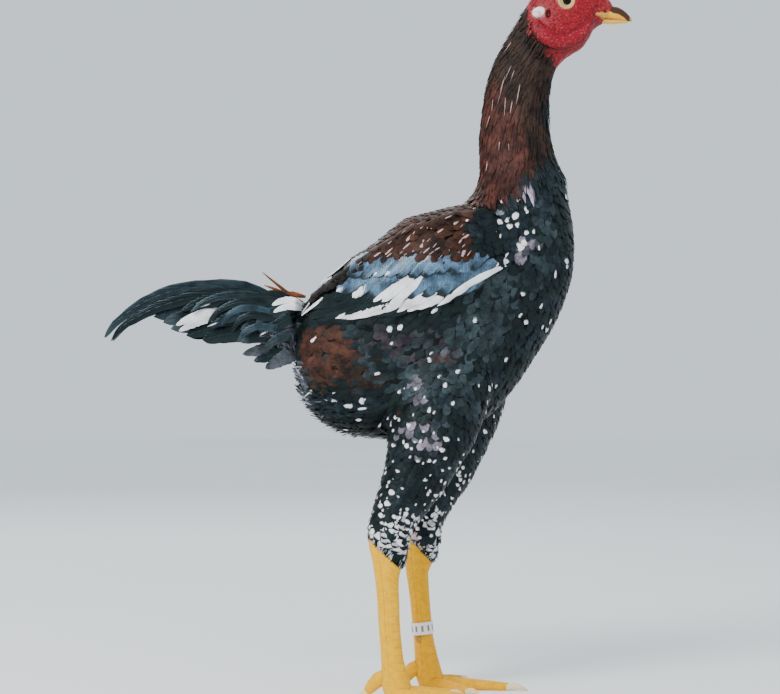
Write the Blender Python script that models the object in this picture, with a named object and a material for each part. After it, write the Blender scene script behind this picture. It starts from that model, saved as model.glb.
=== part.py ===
"""A spangled Malay bantam cock, standing upright, as a still life-size model.

Metres, +Z up. The bird looks along +X, its left side is +Y and it stands on Z = 0.
The head, neck and trunk are one body between a back line and a breast line, parted at flat faces.
Tables are in millimetres, drawn on the side view as x and z.
"""

import math

import bmesh
import bpy
import numpy as np
from mathutils import Matrix

MM = 0.001
GAP = 0.3 * MM
MERGE = 0.005 * MM
STEP = 1e-3
TURN = 2 * math.pi
SIDES = {"right": -1, "left": 1}

# The body from the front of the face to the rump. Each row is the back line's x and z, the breast
# line's x and z, half the width, and how far the width sits towards the back.
BODY_LINES = np.array([
    (171.0, 481.5, 163.0, 468.5, 6.0, 0.00),
    (168.0, 486.0, 160.0, 467.0, 8.5, 0.05),
    (162.0, 491.0, 156.5, 464.0, 11.5, 0.10),
    (155.0, 495.5, 154.8, 460.0, 14.0, 0.15),
    (146.5, 498.8, 153.0, 457.0, 15.5, 0.18),
    (137.0, 499.8, 150.5, 453.5, 16.3, 0.18),
    (128.5, 498.2, 147.3, 450.7, 16.3, 0.12),
    (120.8, 494.0, 143.8, 448.8, 15.8, 0.08),
    (114.8, 488.4, 140.9, 446.8, 15.3, 0.04),
    (110.6, 482.2, 137.4, 443.6, 15.0, 0.00),
    (97.8, 464.2, 131.0, 429.8, 15.5, 0.00),
    (86.3, 443.6, 128.5, 414.4, 16.5, 0.00),
    (80.2, 422.8, 128.5, 400.4, 17.5, 0.00),
    (77.4, 401.8, 129.2, 389.2, 18.5, 0.00),
    (76.0, 384.3, 132.7, 373.8, 20.0, 0.00),
    (77.0, 366.8, 139.0, 361.2, 24.0, 0.00),
    (75.3, 355.6, 141.8, 344.4, 29.5, 0.00),
    (68.3, 345.1, 144.6, 326.2, 35.0, 0.05),
    (59.2, 343.0, 145.3, 308.7, 39.0, 0.10),
    (48.7, 340.2, 143.9, 291.9, 42.0, 0.15),
    (36.8, 337.4, 138.3, 273.7, 44.5, 0.18),
    (23.5, 333.2, 129.9, 254.8, 46.0, 0.20),
    (10.2, 322.7, 118.7, 236.6, 46.5, 0.20),
    (-1.8, 313.6, 101.9, 211.4, 46.5, 0.18),
    (-13.0, 306.6, 79.5, 189.0, 45.5, 0.14),
    (-23.5, 297.5, 50.0, 178.5, 43.0, 0.10),
    (-32.6, 289.1, 18.6, 177.1, 39.0, 0.05),
    (-41.0, 278.6, -13.0, 182.0, 33.0, 0.00),
    (-46.6, 267.4, -33.3, 191.8, 27.0, 0.00),
    (-50.8, 251.3, -45.2, 207.2, 19.0, 0.00),
    (-52.5, 239.0, -49.5, 222.0, 9.0, 0.00),
])
HEAD_END, NECK_END, RUMP_END = 9.0, 16.2, 30.0
HALF_CUT = 0.009  # half the cut between two parts of the body, in rows
BREADTH = 0.3  # how much flatter the back and breast are than an ellipse
HEAD_MESH, NECK_MESH, TORSO_MESH = (15, 20), (9, 18), (18, 24)

# Soft forms of the head: x, z, reach along x, reach along z, height. Brow, eye pit, lore, cheek, ear.
HEAD_FORMS = np.array([
    (141.0, 493.5, 12.5, 3.4, 2.8),
    (137.5, 483.5, 7.5, 6.0, -1.6),
    (155.0, 480.0, 8.0, 6.0, -1.0),
    (137.0, 464.0, 14.0, 9.0, 1.6),
    (121.0, 474.5, 5.0, 6.0, -0.6),
])

EYE, EYE_RADIUS, EYE_SINK = (137.4, 483.2), 5.2, 3.4
LID_RADIUS, LID_ROUND = 4.95, 0.8
LOBE, LOBE_SIZE = (117.8, 475.0), (4.9, 2.5, 4.3)
EAR_HOLE, NOSTRIL, MOUTH_CORNER = (123.6, 472.6), (165.0, 476.6), (158.5, 473.0)

# The comb, a low lumpy cushion set well forward on the forehead.
COMB_CENTRE, COMB_SIZE, COMB_TILT = (155.0, 496.6), (12.0, 8.4, 6.4), 24.0

# The fold of bare skin from below the ear lobe along the jaw: x, z, half its width, half its depth.
WATTLE_LINE = np.array([
    (114.6, 469.8, 1.6, 1.4),
    (115.6, 463.8, 3.2, 2.2),
    (119.3, 458.8, 4.2, 2.6),
    (124.6, 455.0, 4.0, 2.4),
    (130.6, 453.4, 2.2, 1.8),
    (136.8, 454.2, 3.0, 2.2),
    (143.6, 456.2, 3.8, 2.6),
    (149.8, 460.2, 3.4, 2.4),
    (153.8, 464.6, 2.2, 1.8),
    (155.6, 468.2, 0.8, 0.8),
])

# The bill: the upper line's x and z, the lower line's x and z, half the width.
UPPER_BILL = np.array([
    (171.4, 481.2, 165.8, 472.3, 5.6),
    (174.6, 480.6, 169.5, 472.0, 5.1),
    (178.6, 478.4, 174.5, 471.6, 3.9),
    (181.8, 475.4, 179.0, 471.1, 2.6),
    (183.8, 472.9, 182.5, 470.7, 1.4),
    (184.6, 470.9, 184.3, 470.5, 0.3),
])
LOWER_BILL = np.array([
    (165.5, 471.8, 163.6, 468.9, 5.0),
    (169.5, 471.5, 168.2, 468.5, 4.4),
    (174.5, 471.1, 173.6, 468.7, 3.2),
    (179.0, 470.6, 178.6, 469.0, 1.9),
    (182.2, 470.1, 182.0, 469.7, 0.4),
])

# The legs. Each row is the rear line's x and z, the front line's x and z, and half the width.
LEG_SPREAD = 28.0
THIGH_LINES = {
    "right": np.array([
        (0.6, 112.0, 22.5, 90.0, 8.0),
        (2.0, 118.0, 26.0, 104.0, 8.8),
        (3.5, 125.0, 29.0, 117.0, 10.0),
        (7.5, 138.0, 39.0, 131.0, 12.0),
        (11.5, 152.0, 50.0, 145.0, 14.0),
        (14.5, 165.0, 60.0, 160.0, 16.0),
        (15.5, 180.0, 70.0, 176.0, 18.0),
        (18.0, 200.0, 78.0, 196.0, 18.5),
        (22.0, 220.0, 84.0, 218.0, 16.5),
        (28.0, 238.0, 84.0, 236.0, 10.0),
    ]),
    "left": np.array([
        (25.0, 113.0, 45.0, 90.0, 8.0),
        (26.5, 119.0, 48.5, 104.0, 8.8),
        (28.5, 126.0, 50.5, 117.0, 10.0),
        (33.0, 138.0, 58.0, 131.0, 12.0),
        (38.0, 152.0, 68.5, 146.0, 14.0),
        (42.0, 165.0, 76.5, 161.0, 16.0),
        (44.0, 180.0, 84.0, 176.0, 18.0),
        (45.0, 200.0, 92.0, 195.0, 18.5),
        (48.0, 220.0, 96.0, 215.0, 16.5),
        (52.0, 238.0, 93.0, 234.0, 10.0),
    ]),
}
SHANK_LINES = {
    "right": np.array([
        (0.4, 111.7, 22.2, 89.7, 7.8),
        (0.6, 105.0, 21.2, 86.0, 8.0),
        (2.7, 96.0, 20.7, 82.0, 7.6),
        (4.7, 83.0, 20.6, 76.0, 6.8),
        (6.2, 68.0, 21.0, 66.0, 6.2),
        (6.9, 54.0, 21.3, 53.5, 6.0),
        (8.1, 40.0, 22.4, 40.0, 6.1),
        (8.9, 27.0, 24.0, 27.0, 6.8),
        (9.0, 17.0, 27.0, 17.0, 8.2),
        (9.5, 9.0, 30.0, 9.0, 9.5),
        (11.5, 2.5, 30.0, 2.5, 9.5),
        (13.0, 0.0, 28.0, 0.0, 8.0),
    ]),
    "left": np.array([
        (24.8, 112.7, 44.7, 89.7, 7.8),
        (24.6, 105.0, 43.0, 86.0, 8.0),
        (25.0, 96.0, 41.8, 82.5, 7.6),
        (26.6, 82.0, 42.0, 76.0, 6.8),
        (28.9, 66.0, 42.7, 64.5, 6.2),
        (30.4, 52.0, 43.8, 51.5, 6.0),
        (31.7, 39.0, 45.0, 39.0, 6.1),
        (32.4, 27.0, 47.4, 27.0, 6.8),
        (32.8, 17.0, 50.2, 17.0, 8.2),
        (33.5, 9.0, 53.0, 9.0, 9.5),
        (35.5, 2.5, 53.0, 2.5, 9.5),
        (37.0, 0.0, 51.0, 0.0, 8.0),
    ]),
}
SCUTES, SCUTE_START, SCUTE_PITCH, SCUTE_RISE = 11, 1.7, 0.66, 0.45
FOOT_X = {"right": 20.0, "left": 43.5}

# The front toes of each foot: the way each points, outwards being positive, its length from the
# middle of the foot to the claw, and its claw's length.
TOES = {
    "right": {"inner": (-14.0, 38.0, 11.5), "middle": (17.0, 54.0, 14.0), "outer": (50.0, 37.0, 10.5)},
    "left": {"inner": (-49.0, 40.0, 12.5), "middle": (-10.0, 56.0, 14.0), "outer": (52.0, 37.0, 10.5)},
}
TOE_OFFSET = {"inner": -3.5, "middle": 0.0, "outer": 3.5}
TOE_WIDTH, TOE_HEIGHTS, TOE_SCUTES = (4.6, 3.1), (9.0, 8.2, 7.0, 5.4), 5
# The raised hind toe and its claw: x, z and radius, measured on the right foot.
HIND_TOE = np.array([
    (14.0, 17.0, 4.6),
    (8.5, 14.6, 4.9),
    (4.2, 10.6, 4.5),
    (0.8, 6.8, 3.6),
    (-1.2, 4.8, 2.5),
    (-4.2, 3.0, 1.6),
    (-6.8, 0.9, 0.4),
])
HIND_SLEW = 0.25

RING_Z, RING_HEIGHT, RING_IN, RING_OUT = 43.4, 8.8, 7.35, 7.9
SPUR_Z, SPUR_LENGTH, SPUR_RADIUS = 35.5, 8.0, 2.5

# The folded wing: its upper edge's x and z, its lower edge's x and z, and how far it stands out.
WING_LINES = np.array([
    (88.3, 333.4, 94.7, 305.5, 1.0),
    (78.6, 337.6, 89.9, 293.9, 4.5),
    (63.4, 336.2, 72.9, 284.5, 6.2),
    (45.5, 332.0, 53.2, 276.5, 6.8),
    (27.5, 325.1, 30.0, 272.5, 6.4),
    (12.3, 316.1, 8.2, 269.0, 5.4),
    (-4.3, 305.1, -12.2, 265.5, 4.4),
    (-20.9, 293.3, -28.8, 263.5, 3.2),
    (-34.7, 283.0, -39.0, 262.5, 2.2),
    (-43.5, 272.5, -45.5, 265.0, 1.0),
])
WING_LIFT = 1.0
WING_TIP_OFF = (-48.0, 16.0, 0.06)  # at this x the wing keeps this far from the middle plane, and more ahead

# The wing's tiers of feathers: how many, the line of their roots, the line of their tips, half
# their width, how high their tips stand off, and how pointed they are.
WING_TIERS = [
    (6, [(69.6, 281.8), (59.4, 286.5), (49.1, 291.3), (38.9, 295.4), (28.7, 299.5), (20.5, 303.6)],
     [(-12.2, 263.3), (-29.3, 261.0), (-42.2, 261.0), (-47.0, 265.0), (-44.9, 272.2), (-37.0, 280.4)],
     6.0, 2.2, 0.5),
    (5, [(17.1, 309.0), (38.9, 300.9), (62.8, 296.8), (86.0, 304.9)],
     [(-17.0, 284.5), (3.8, 279.7), (24.6, 285.2), (47.8, 280.4), (72.3, 287.9)], 11.0, 3.0, 0.4),
    (4, [(25.3, 321.0), (52.5, 317.2), (72.3, 315.8), (87.0, 319.9)],
     [(-6.8, 298.8), (25.3, 300.2), (51.9, 298.8), (78.1, 306.3)], 12.0, 3.4, 0.4),
    (3, [(43.7, 327.0), (66.0, 330.2), (82.0, 327.5)],
     [(17.8, 315.2), (47.1, 315.2), (73.7, 315.8)], 11.0, 3.8, 0.4),
]

# The hackle feathers round the neck: tier by tier, how many to a side, the row of their roots, the
# row of their tips, the angle from the back at which they start and end, and half their width.
HACKLE_TIERS = [
    (4, 11.2, 14.6, 14.0, 112.0, 7.0),
    (5, 13.4, 16.95, 12.0, 116.0, 8.6),
]

# The saddle feathers on each flank, from their roots to their tips.
SADDLE = (4, [(-2.0, 249.0), (-9.0, 240.0), (-13.0, 231.0), (-14.0, 221.0)],
          [(-42.0, 236.0), (-43.0, 226.0), (-38.0, 216.0), (-29.0, 206.0)], 7.4)

# The root of the tail: upper line, lower line, half the width.
TAIL_ROOT = np.array([
    (-34.0, 275.0, -30.0, 234.0, 8.5),
    (-50.0, 277.5, -47.0, 236.0, 9.5),
    (-62.0, 280.5, -59.0, 240.0, 8.5),
    (-73.0, 281.5, -70.0, 248.0, 5.5),
    (-80.0, 279.0, -77.0, 256.0, 1.2),
])
# The tail's feathers on each side: their middle lines, half their width, their distance from the
# middle plane, and whether they taper to a point.
TAIL_FEATHERS = [
    ([(-52, 268), (-85, 278), (-120, 281), (-152, 276)], 6.8, 1.6, False),
    ([(-52, 265), (-85, 270), (-120, 270), (-150, 264)], 7.4, 3.1, False),
    ([(-52, 260), (-80, 263), (-112, 261), (-138, 255.5)], 7.4, 4.6, False),
    ([(-52, 254), (-76, 254), (-98, 252), (-116, 248)], 7.0, 6.1, False),
    ([(-55, 270), (-79, 282), (-101, 284.5), (-125, 284), (-146, 279), (-163, 270.5), (-177, 259.5),
      (-184.5, 249.5)], 5.8, 4.6, True),
    ([(-55, 268), (-78, 277), (-101, 279.5), (-125, 277), (-146, 271), (-161, 264), (-173, 256),
      (-179.5, 247)], 5.2, 6.1, True),
    ([(-54, 266), (-76, 276), (-95, 278), (-115, 275), (-131, 268)], 6.2, 7.8, True),
    ([(-54, 260), (-72, 266), (-92, 267), (-111, 262)], 6.6, 9.3, True),
    ([(-54, 268), (-66, 273), (-79, 274), (-92, 270)], 7.0, 10.8, True),
    ([(-53, 256), (-64, 260), (-76, 260), (-89, 255)], 7.0, 10.8, True),
    ([(-50, 246), (-62, 244), (-74, 241), (-88, 238)], 6.4, 3.0, True),
    ([(-48, 242), (-56, 237), (-64, 232.5), (-72, 228)], 6.2, 5.2, True),
]

COLOURS = {
    "plumage_dark": ((0.018, 0.030, 0.034), 0.42, 0.15),
    "plumage_chestnut": ((0.085, 0.028, 0.016), 0.50, 0.05),
    "bare_skin": ((0.52, 0.035, 0.045), 0.48, 0.0),
    "lobe_skin": ((0.80, 0.74, 0.72), 0.50, 0.0),
    "eye": ((0.62, 0.52, 0.30), 0.08, 0.0),
    "bill_horn": ((0.72, 0.42, 0.12), 0.35, 0.0),
    "leg_scale": ((0.76, 0.42, 0.05), 0.42, 0.0),
    "claw_horn": ((0.80, 0.66, 0.42), 0.35, 0.0),
    "ring_plastic": ((0.86, 0.87, 0.88), 0.35, 0.0),
}


def clear_scene():
    for old in list(bpy.data.objects):
        bpy.data.objects.remove(old, do_unlink=True)


def material(name):
    """The finish of this name, made once."""
    found = bpy.data.materials.get(name)
    if found:
        return found
    colour, roughness, metallic = COLOURS[name]
    made = bpy.data.materials.new(name)
    made.use_nodes = True
    shader = made.node_tree.nodes["Principled BSDF"]
    shader.inputs["Base Color"].default_value = (*colour, 1.0)
    shader.inputs["Roughness"].default_value = roughness
    shader.inputs["Metallic"].default_value = metallic
    return made


# Curves and surfaces

def flow(rows, t):
    """The smooth curve through the rows, at t counted in rows."""
    rows = np.asarray(rows, float)
    t = np.clip(np.asarray(t, float), 0, len(rows) - 1)
    i = np.minimum(t.astype(int), len(rows) - 2)
    f = (t - i)[..., None]
    padded = np.vstack([2 * rows[0] - rows[1], rows, 2 * rows[-1] - rows[-2]])
    p0, p1, p2, p3 = (padded[i + k] for k in range(4))
    return 0.5 * (2 * p1 + (p2 - p0) * f + (2 * p0 - 5 * p1 + 4 * p2 - p3) * f ** 2
                  + (3 * p1 - p0 - 3 * p2 + p3) * f ** 3)


def between_lines(rows, t, a, y=0.0):
    """A point round the body between two lines: a is 0 on the first and pi on the second."""
    row = flow(rows, t)
    middle = (row[..., 0:2] + row[..., 2:4]) / 2
    half = (row[..., 0:2] - row[..., 2:4]) / 2
    lean = row[..., 5] if row.shape[-1] > 5 else 0.0
    up = np.cos(a)
    across = row[..., 4] * np.sin(a) * (1 + lean * up)
    point = np.stack([middle[..., 0] + half[..., 0] * up, y + across, middle[..., 1] + half[..., 1] * up], -1)
    return point * MM


def line_place(rows, x, z, first, last):
    """The row t of the side-view point x, z, and its place from 1 on the first line to -1 on the second."""
    steps = np.linspace(first, last, 400)
    row = flow(rows, steps)
    middle = (row[:, 0:2] + row[:, 2:4]) / 2
    half = (row[:, 0:2] - row[:, 2:4]) / 2
    away = np.stack(np.broadcast_arrays(x, z), -1)[..., None, :] - middle
    turn = away[..., 0] * half[:, 1] - away[..., 1] * half[:, 0]
    place = (away * half).sum(-1) / (half ** 2).sum(-1)
    meets = turn[..., :-1] * turn[..., 1:] <= 0
    near = np.argmin(np.where(meets, np.abs(place[..., :-1]), 1e6 + np.abs(turn[..., :-1])), axis=-1)[..., None]
    here, there = (np.take_along_axis(turn, near + k, -1)[..., 0] for k in (0, 1))
    share = np.clip(here / np.where(here == there, 1.0, here - there), 0, 1)
    t = steps[near[..., 0]] + share * (steps[1] - steps[0])
    low, high = (np.take_along_axis(place, near + k, -1)[..., 0] for k in (0, 1))
    return t, np.clip(low + (high - low) * share, -1, 1)


def lifted(surface, t, a, lift):
    """The surface, moved out along its normal by lift, in metres."""
    t, a = np.broadcast_arrays(np.asarray(t, float), np.asarray(a, float))
    along = surface(t + STEP, a) - surface(t - STEP, a)
    around = surface(t, a + STEP) - surface(t, a - STEP)
    normal = np.cross(around, along)
    normal /= np.maximum(np.linalg.norm(normal, axis=-1, keepdims=True), 1e-15)
    return surface(t, a) + normal * (np.zeros_like(t) + lift)[..., None]


def trunk(t, a):
    """The surface of the whole body, with a broad back and breast behind the neck."""
    point = between_lines(BODY_LINES, t, a)
    broad = BREADTH * np.clip((np.asarray(t, float) - 15.0) / 3.0, 0, 1)
    point[..., 1] *= np.maximum(np.abs(np.sin(a)), 1e-6) ** -broad
    return point


def head_skin(t, a, lift=0.0):
    """The skin of the head, with its brow, eye pit and cheek."""
    point = trunk(t, a)
    x, y, z = (point[..., k] / MM for k in range(3))
    rise = np.zeros_like(x)
    for at_x, at_z, reach_x, reach_z, height in HEAD_FORMS:
        rise += height * np.exp(-((x - at_x) / reach_x) ** 2 - ((z - at_z) / reach_z) ** 2)
    return lifted(trunk, t, a, rise * np.clip(np.abs(y) / 12.0, 0, 1) ** 2 * MM + lift)


def head_width(x, z):
    """Half the width of the head at this side-view point, in millimetres."""
    t, place = line_place(BODY_LINES, x, z, 0.0, 12.0)
    return head_skin(t, np.arccos(place))[..., 1] / MM


def on_body(x, z, lift, side):
    """A point over the trunk behind the neck, given on the side view and lifted along its normal."""
    t, place = line_place(BODY_LINES, x, z, 16.3, RUMP_END)
    return lifted(trunk, t, np.arccos(np.clip(place, -0.98, 0.98)) * side, lift * MM)


def beside_body(x, z, lift, side):
    """A point beside the trunk, lifted sideways, that keeps clear of the root of the tail."""
    t, place = line_place(BODY_LINES, x, z, 16.3, RUMP_END)
    at_x, least, rise = WING_TIP_OFF
    out = np.maximum(trunk(t, np.arccos(place))[..., 1] / MM, least + rise * (x - at_x))
    return np.stack(np.broadcast_arrays(x, side * (out + lift), z), -1) * MM


# Solids

def new_object(name, mesh, finish):
    made = bpy.data.objects.new(name, mesh)
    bpy.context.scene.collection.objects.link(made)
    mesh.materials.clear()
    mesh.materials.append(material(finish))
    return made


def tube(name, surface, rings, sides, finish="plumage_dark"):
    """A closed body from surface(u, w): u runs along it and w round it, both from 0 to 1."""
    shape = bmesh.new()
    bmesh.ops.create_grid(shape, x_segments=rings, y_segments=sides, size=0.5)
    place = np.array([v.co for v in shape.verts]) + 0.5
    u, w = np.rint(place[:, 0] * rings) / rings, np.rint(place[:, 1] * sides) % sides / sides
    for vertex, point in zip(shape.verts, surface(u, w)):
        vertex.co = point
    bmesh.ops.remove_doubles(shape, verts=shape.verts, dist=MERGE)
    bmesh.ops.dissolve_degenerate(shape, dist=MERGE, edges=shape.edges)
    bmesh.ops.holes_fill(shape, edges=[e for e in shape.edges if e.is_boundary])
    bmesh.ops.recalc_face_normals(shape, faces=shape.faces)
    bmesh.ops.triangulate(shape, faces=shape.faces, quad_method="SHORT_EDGE")
    mesh = bpy.data.meshes.new(name)
    shape.to_mesh(mesh)
    shape.free()
    return new_object(name, mesh, finish)


def keep_largest(piece):
    """Drops all but the largest closed surface of the piece."""
    shape = bmesh.new()
    shape.from_mesh(piece.data)
    left, groups = set(shape.verts), []
    while left:
        group, edge = set(), [left.pop()]
        while edge:
            vertex = edge.pop()
            group.add(vertex)
            near = {e.other_vert(vertex) for e in vertex.link_edges} & left
            left -= near
            edge.extend(near)
        groups.append(group)

    def reach(group):
        places = np.array([v.co for v in group])
        return np.linalg.norm(places.max(0) - places.min(0))

    if len(groups) > 1:
        keep = max(groups, key=reach)
        bmesh.ops.delete(shape, geom=[v for v in shape.verts if v not in keep], context="VERTS")
        shape.to_mesh(piece.data)
    shape.free()


def combine(piece, others, operation, solver="EXACT"):
    """Joins the others to the piece, or cuts them from it, and removes them."""
    group = bpy.data.collections.new("tools")
    for other in others:
        group.objects.link(other)
    change = piece.modifiers.new("combine", "BOOLEAN")
    change.operation = operation
    change.solver = solver
    change.operand_type = "COLLECTION"
    change.collection = group
    bpy.context.view_layer.update()
    graph = bpy.context.evaluated_depsgraph_get()
    mesh = bpy.data.meshes.new_from_object(piece.evaluated_get(graph))
    piece.modifiers.clear()
    piece.data = mesh
    for other in others:
        bpy.data.objects.remove(other, do_unlink=True)
    bpy.data.collections.remove(group)
    keep_largest(piece)
    return piece


def loft(name, rows, rings, sides, finish="plumage_dark", y=0.0):
    """The closed body between the two lines of the rows."""
    return tube(name, lambda u, w: between_lines(rows, u * (len(rows) - 1), w * TURN, y), rings, sides, finish)


def ellipsoid(name, centre, size, finish="bare_skin", turn=0.0, rings=8, sides=12, lumps=0.0):
    """A rounded body, its long way along x and turned about y, with lumps if wanted."""
    spin = np.array(Matrix.Rotation(math.radians(turn), 3, "Y"))

    def surface(u, w):
        polar, a = u * math.pi, w * TURN
        swell = 1 + lumps * np.cos(6 * a) * np.cos(7 * polar)
        local = np.stack([-np.cos(polar) * size[0], np.sin(polar) * np.sin(a) * size[1] * swell,
                          np.sin(polar) * np.cos(a) * size[2] * swell], -1)
        return (np.array(centre) + local @ spin.T) * MM

    return tube(name, surface, rings, sides, finish)


def vane(name, place, half_width, pointed, rings=4, sides=4, thick=0.4):
    """A flat feather from place(u, v, lift): v is the way across it and lift its thickness, in mm.

    half_width is at its widest, and pointed says how much it narrows towards the tip.
    """
    across = np.array([-1, 1, 1, -1] if sides == 4 else [-1, 0, 1, 1, 0, -1])
    height = np.array([0.8, 0.8, -0.8, -0.8] if sides == 4 else [0.7, 1.0, 0.7, -0.7, -1.0, -0.7])

    def surface(u, w):
        k = np.rint(w * sides).astype(int) % sides
        taper = np.sqrt(np.clip(1 - u ** (5 - 3 * pointed), 0, 1)) * (1 - pointed * 0.5 * u)
        width = half_width * np.maximum(taper * np.minimum(1, 0.45 + 1.8 * u), 0.06)
        tip = np.clip((1 - u) * 6, 0.4, 1)
        return place(u, across[k] * width, height[k] * thick * tip)

    return tube(name, surface, rings, sides)


# Head

def head_cutter():
    """The head and upper neck, larger by the gap, to cut what sits on them."""
    return tube("head_cutter", lambda u, w: head_skin(u * 12.0, w * TURN, 1.2 * GAP), 22, 22)


def eye_place(side):
    return EYE[0], side * (head_width(*EYE) - EYE_SINK), EYE[1]


def side_cutter(place, size, side, turn=0.0):
    """A rounded cutter that reaches into the side of the head at this place."""
    return ellipsoid("cutter", (place[0], side * head_width(*place), place[1]), size,
                     turn=turn, rings=4, sides=6)


def make_lid(side):
    """The raised ring of the lids round the eye."""
    def surface(u, w):
        a, b = u * TURN, w * TURN
        reach = LID_RADIUS + LID_ROUND * np.cos(b)
        x, z = EYE[0] + reach * np.cos(a) * 1.05, EYE[1] + reach * np.sin(a) * 0.95
        return np.stack([x, side * (head_width(x, z) + 0.25 + 0.85 * np.sin(b)), z], -1) * MM

    return tube("lid", surface, 12, 5, "bare_skin")


def make_head():
    head = tube("head", lambda u, w: head_skin(u * (HEAD_END - HALF_CUT), w * TURN), *HEAD_MESH, "bare_skin")
    cutters = []
    for name, side in SIDES.items():
        ellipsoid(f"eye_{name}", eye_place(side), (EYE_RADIUS,) * 3, "eye")
        cutters.append(ellipsoid("socket", eye_place(side), (EYE_RADIUS + 0.35,) * 3))
        cutters.append(side_cutter(EAR_HOLE, (1.9, 1.6, 1.5), side, -30))
        cutters.append(side_cutter(NOSTRIL, (1.7, 0.8, 0.7), side, 12))
        cutters.append(side_cutter(MOUTH_CORNER, (6.0, 0.9, 0.55), side, -6))
    combine(head, [make_lid(side) for side in SIDES.values()], "UNION")
    return combine(head, cutters, "DIFFERENCE")


def make_wattle(name, side):
    def surface(u, w):
        t = u * (len(WATTLE_LINE) - 1)
        row = flow(WATTLE_LINE, t)
        ahead = (flow(WATTLE_LINE, t + 0.02) - flow(WATTLE_LINE, t - 0.02))[..., :2]
        ahead /= np.linalg.norm(ahead, axis=-1, keepdims=True)
        out, up = row[..., 3] * np.cos(w * TURN), row[..., 2] * np.sin(w * TURN)
        x, z = row[..., 0] - ahead[..., 1] * up, row[..., 1] + ahead[..., 0] * up
        return np.stack([x, side * (head_width(row[..., 0], row[..., 1]) + 0.9 + out), z], -1) * MM

    wattle = tube(f"wattle_{name}", surface, 12, 8, "bare_skin")
    return combine(wattle, [head_cutter()], "DIFFERENCE")


def make_face():
    comb = ellipsoid("comb", (COMB_CENTRE[0], 0.0, COMB_CENTRE[1]), COMB_SIZE, turn=COMB_TILT,
                     rings=11, sides=14, lumps=0.11)
    combine(comb, [head_cutter()], "DIFFERENCE")
    for name, side in SIDES.items():
        lobe = ellipsoid(f"earlobe_{name}", (LOBE[0], side * (head_width(*LOBE) + 0.5), LOBE[1]), LOBE_SIZE,
                         "lobe_skin", turn=-20, rings=6, sides=10)
        combine(lobe, [head_cutter()], "DIFFERENCE")
        make_wattle(name, side)
    loft("beak_upper", UPPER_BILL, 8, 10, "bill_horn")
    loft("beak_lower", LOWER_BILL, 6, 8, "bill_horn")


# Neck, torso and wings

def body_solid(name, start, end, mesh, finish, lift=0.0):
    """The body between two rows, with flat faces where it is parted."""
    return tube(name, lambda u, w: lifted(trunk, start + (end - start) * u, w * TURN, lift), *mesh, finish)


def torso_cutter():
    return body_solid("torso_cutter", NECK_END + HALF_CUT, RUMP_END, TORSO_MESH, "plumage_dark", 1.15 * GAP)


def hackle(root, tip, angle, half_width, side):
    """A narrow feather on the neck, its root sunk in it and its point just off it."""
    def place(u, v, lift):
        t = root + (tip - root) * u
        row = flow(BODY_LINES, t)
        reach = np.hypot(row[..., 0] - row[..., 2], row[..., 1] - row[..., 3]) / 4 + row[..., 4] / 2
        high = np.interp(u, [0, 0.45, 1], [-0.9, 0.7, 1.25]) + 0.25 * v / half_width
        return lifted(trunk, t, math.radians(angle) * side + v * side / reach, (high + lift) * MM)

    return vane("hackle", place, half_width, 0.9)


def make_neck():
    neck = body_solid("neck", HEAD_END + HALF_CUT, NECK_END - HALF_CUT, NECK_MESH, "plumage_chestnut")
    vanes = []
    for count, root, tip, start, end, half_width in HACKLE_TIERS:
        for k in range(count):
            angle = start + (end - start) * k / (count - 1)
            for side in SIDES.values():
                vanes.append(hackle(root, tip, angle, half_width, side))
    return combine(neck, vanes, "UNION")


def tier_vanes(count, roots, tips, half_width, place_on, pointed, side):
    """A tier of feathers between the line of their roots and the line of their tips."""
    vanes = []
    for k in range(count):
        f = (k + 0.5) / count
        root, tip = flow(roots, f * (len(roots) - 1)), flow(tips, f * (len(tips) - 1))
        way = (tip - root) / np.linalg.norm(tip - root)

        def place(u, v, lift, root=root, tip=tip, way=way):
            x = root[0] + (tip[0] - root[0]) * u - way[1] * v
            z = root[1] + (tip[1] - root[1]) * u + way[0] * v
            return place_on(x, z, u, v, lift, side)

        vanes.append(vane("feather", place, half_width, pointed))
    return vanes


def make_torso():
    torso = body_solid("torso", NECK_END + HALF_CUT, RUMP_END, TORSO_MESH, "plumage_dark")
    count, roots, tips, half_width = SADDLE

    def place_on(x, z, u, v, lift, side):
        return on_body(x, z, np.interp(u, [0, 0.3, 1], [-0.9, 0.7, 1.7]) + 0.45 * v / half_width + lift, side)

    vanes = []
    for side in SIDES.values():
        vanes += tier_vanes(count, roots, tips, half_width, place_on, 0.8, side)
    return combine(torso, vanes, "UNION")


def wing_lift(x, z):
    """How far the wing's core stands off the body at this side-view point."""
    t, place = line_place(WING_LINES, x, z, 0.0, len(WING_LINES) - 1.0)
    row = flow(WING_LINES, t)
    return WING_LIFT + row[..., 4] * np.sin(math.pi * np.clip(0.06 + 0.44 * (1 - place), 0, 1)) ** 0.7


def wing_core(name, side):
    """The closed slab of the folded wing, from its shoulder to its point."""
    def surface(u, w):
        row = flow(WING_LINES, u * (len(WING_LINES) - 1))
        q = 1 - np.abs(2 * w - 1)
        x = row[..., 0] + (row[..., 2] - row[..., 0]) * q
        z = row[..., 1] + (row[..., 3] - row[..., 1]) * q
        bulge = row[..., 4] * np.sin(math.pi * (0.06 + 0.88 * q)) ** 0.7
        return beside_body(x, z, WING_LIFT + np.where((w <= 0.5) | (q < 0.01), bulge, 0.0), side)

    return tube(name, surface, 11, 10)


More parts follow.
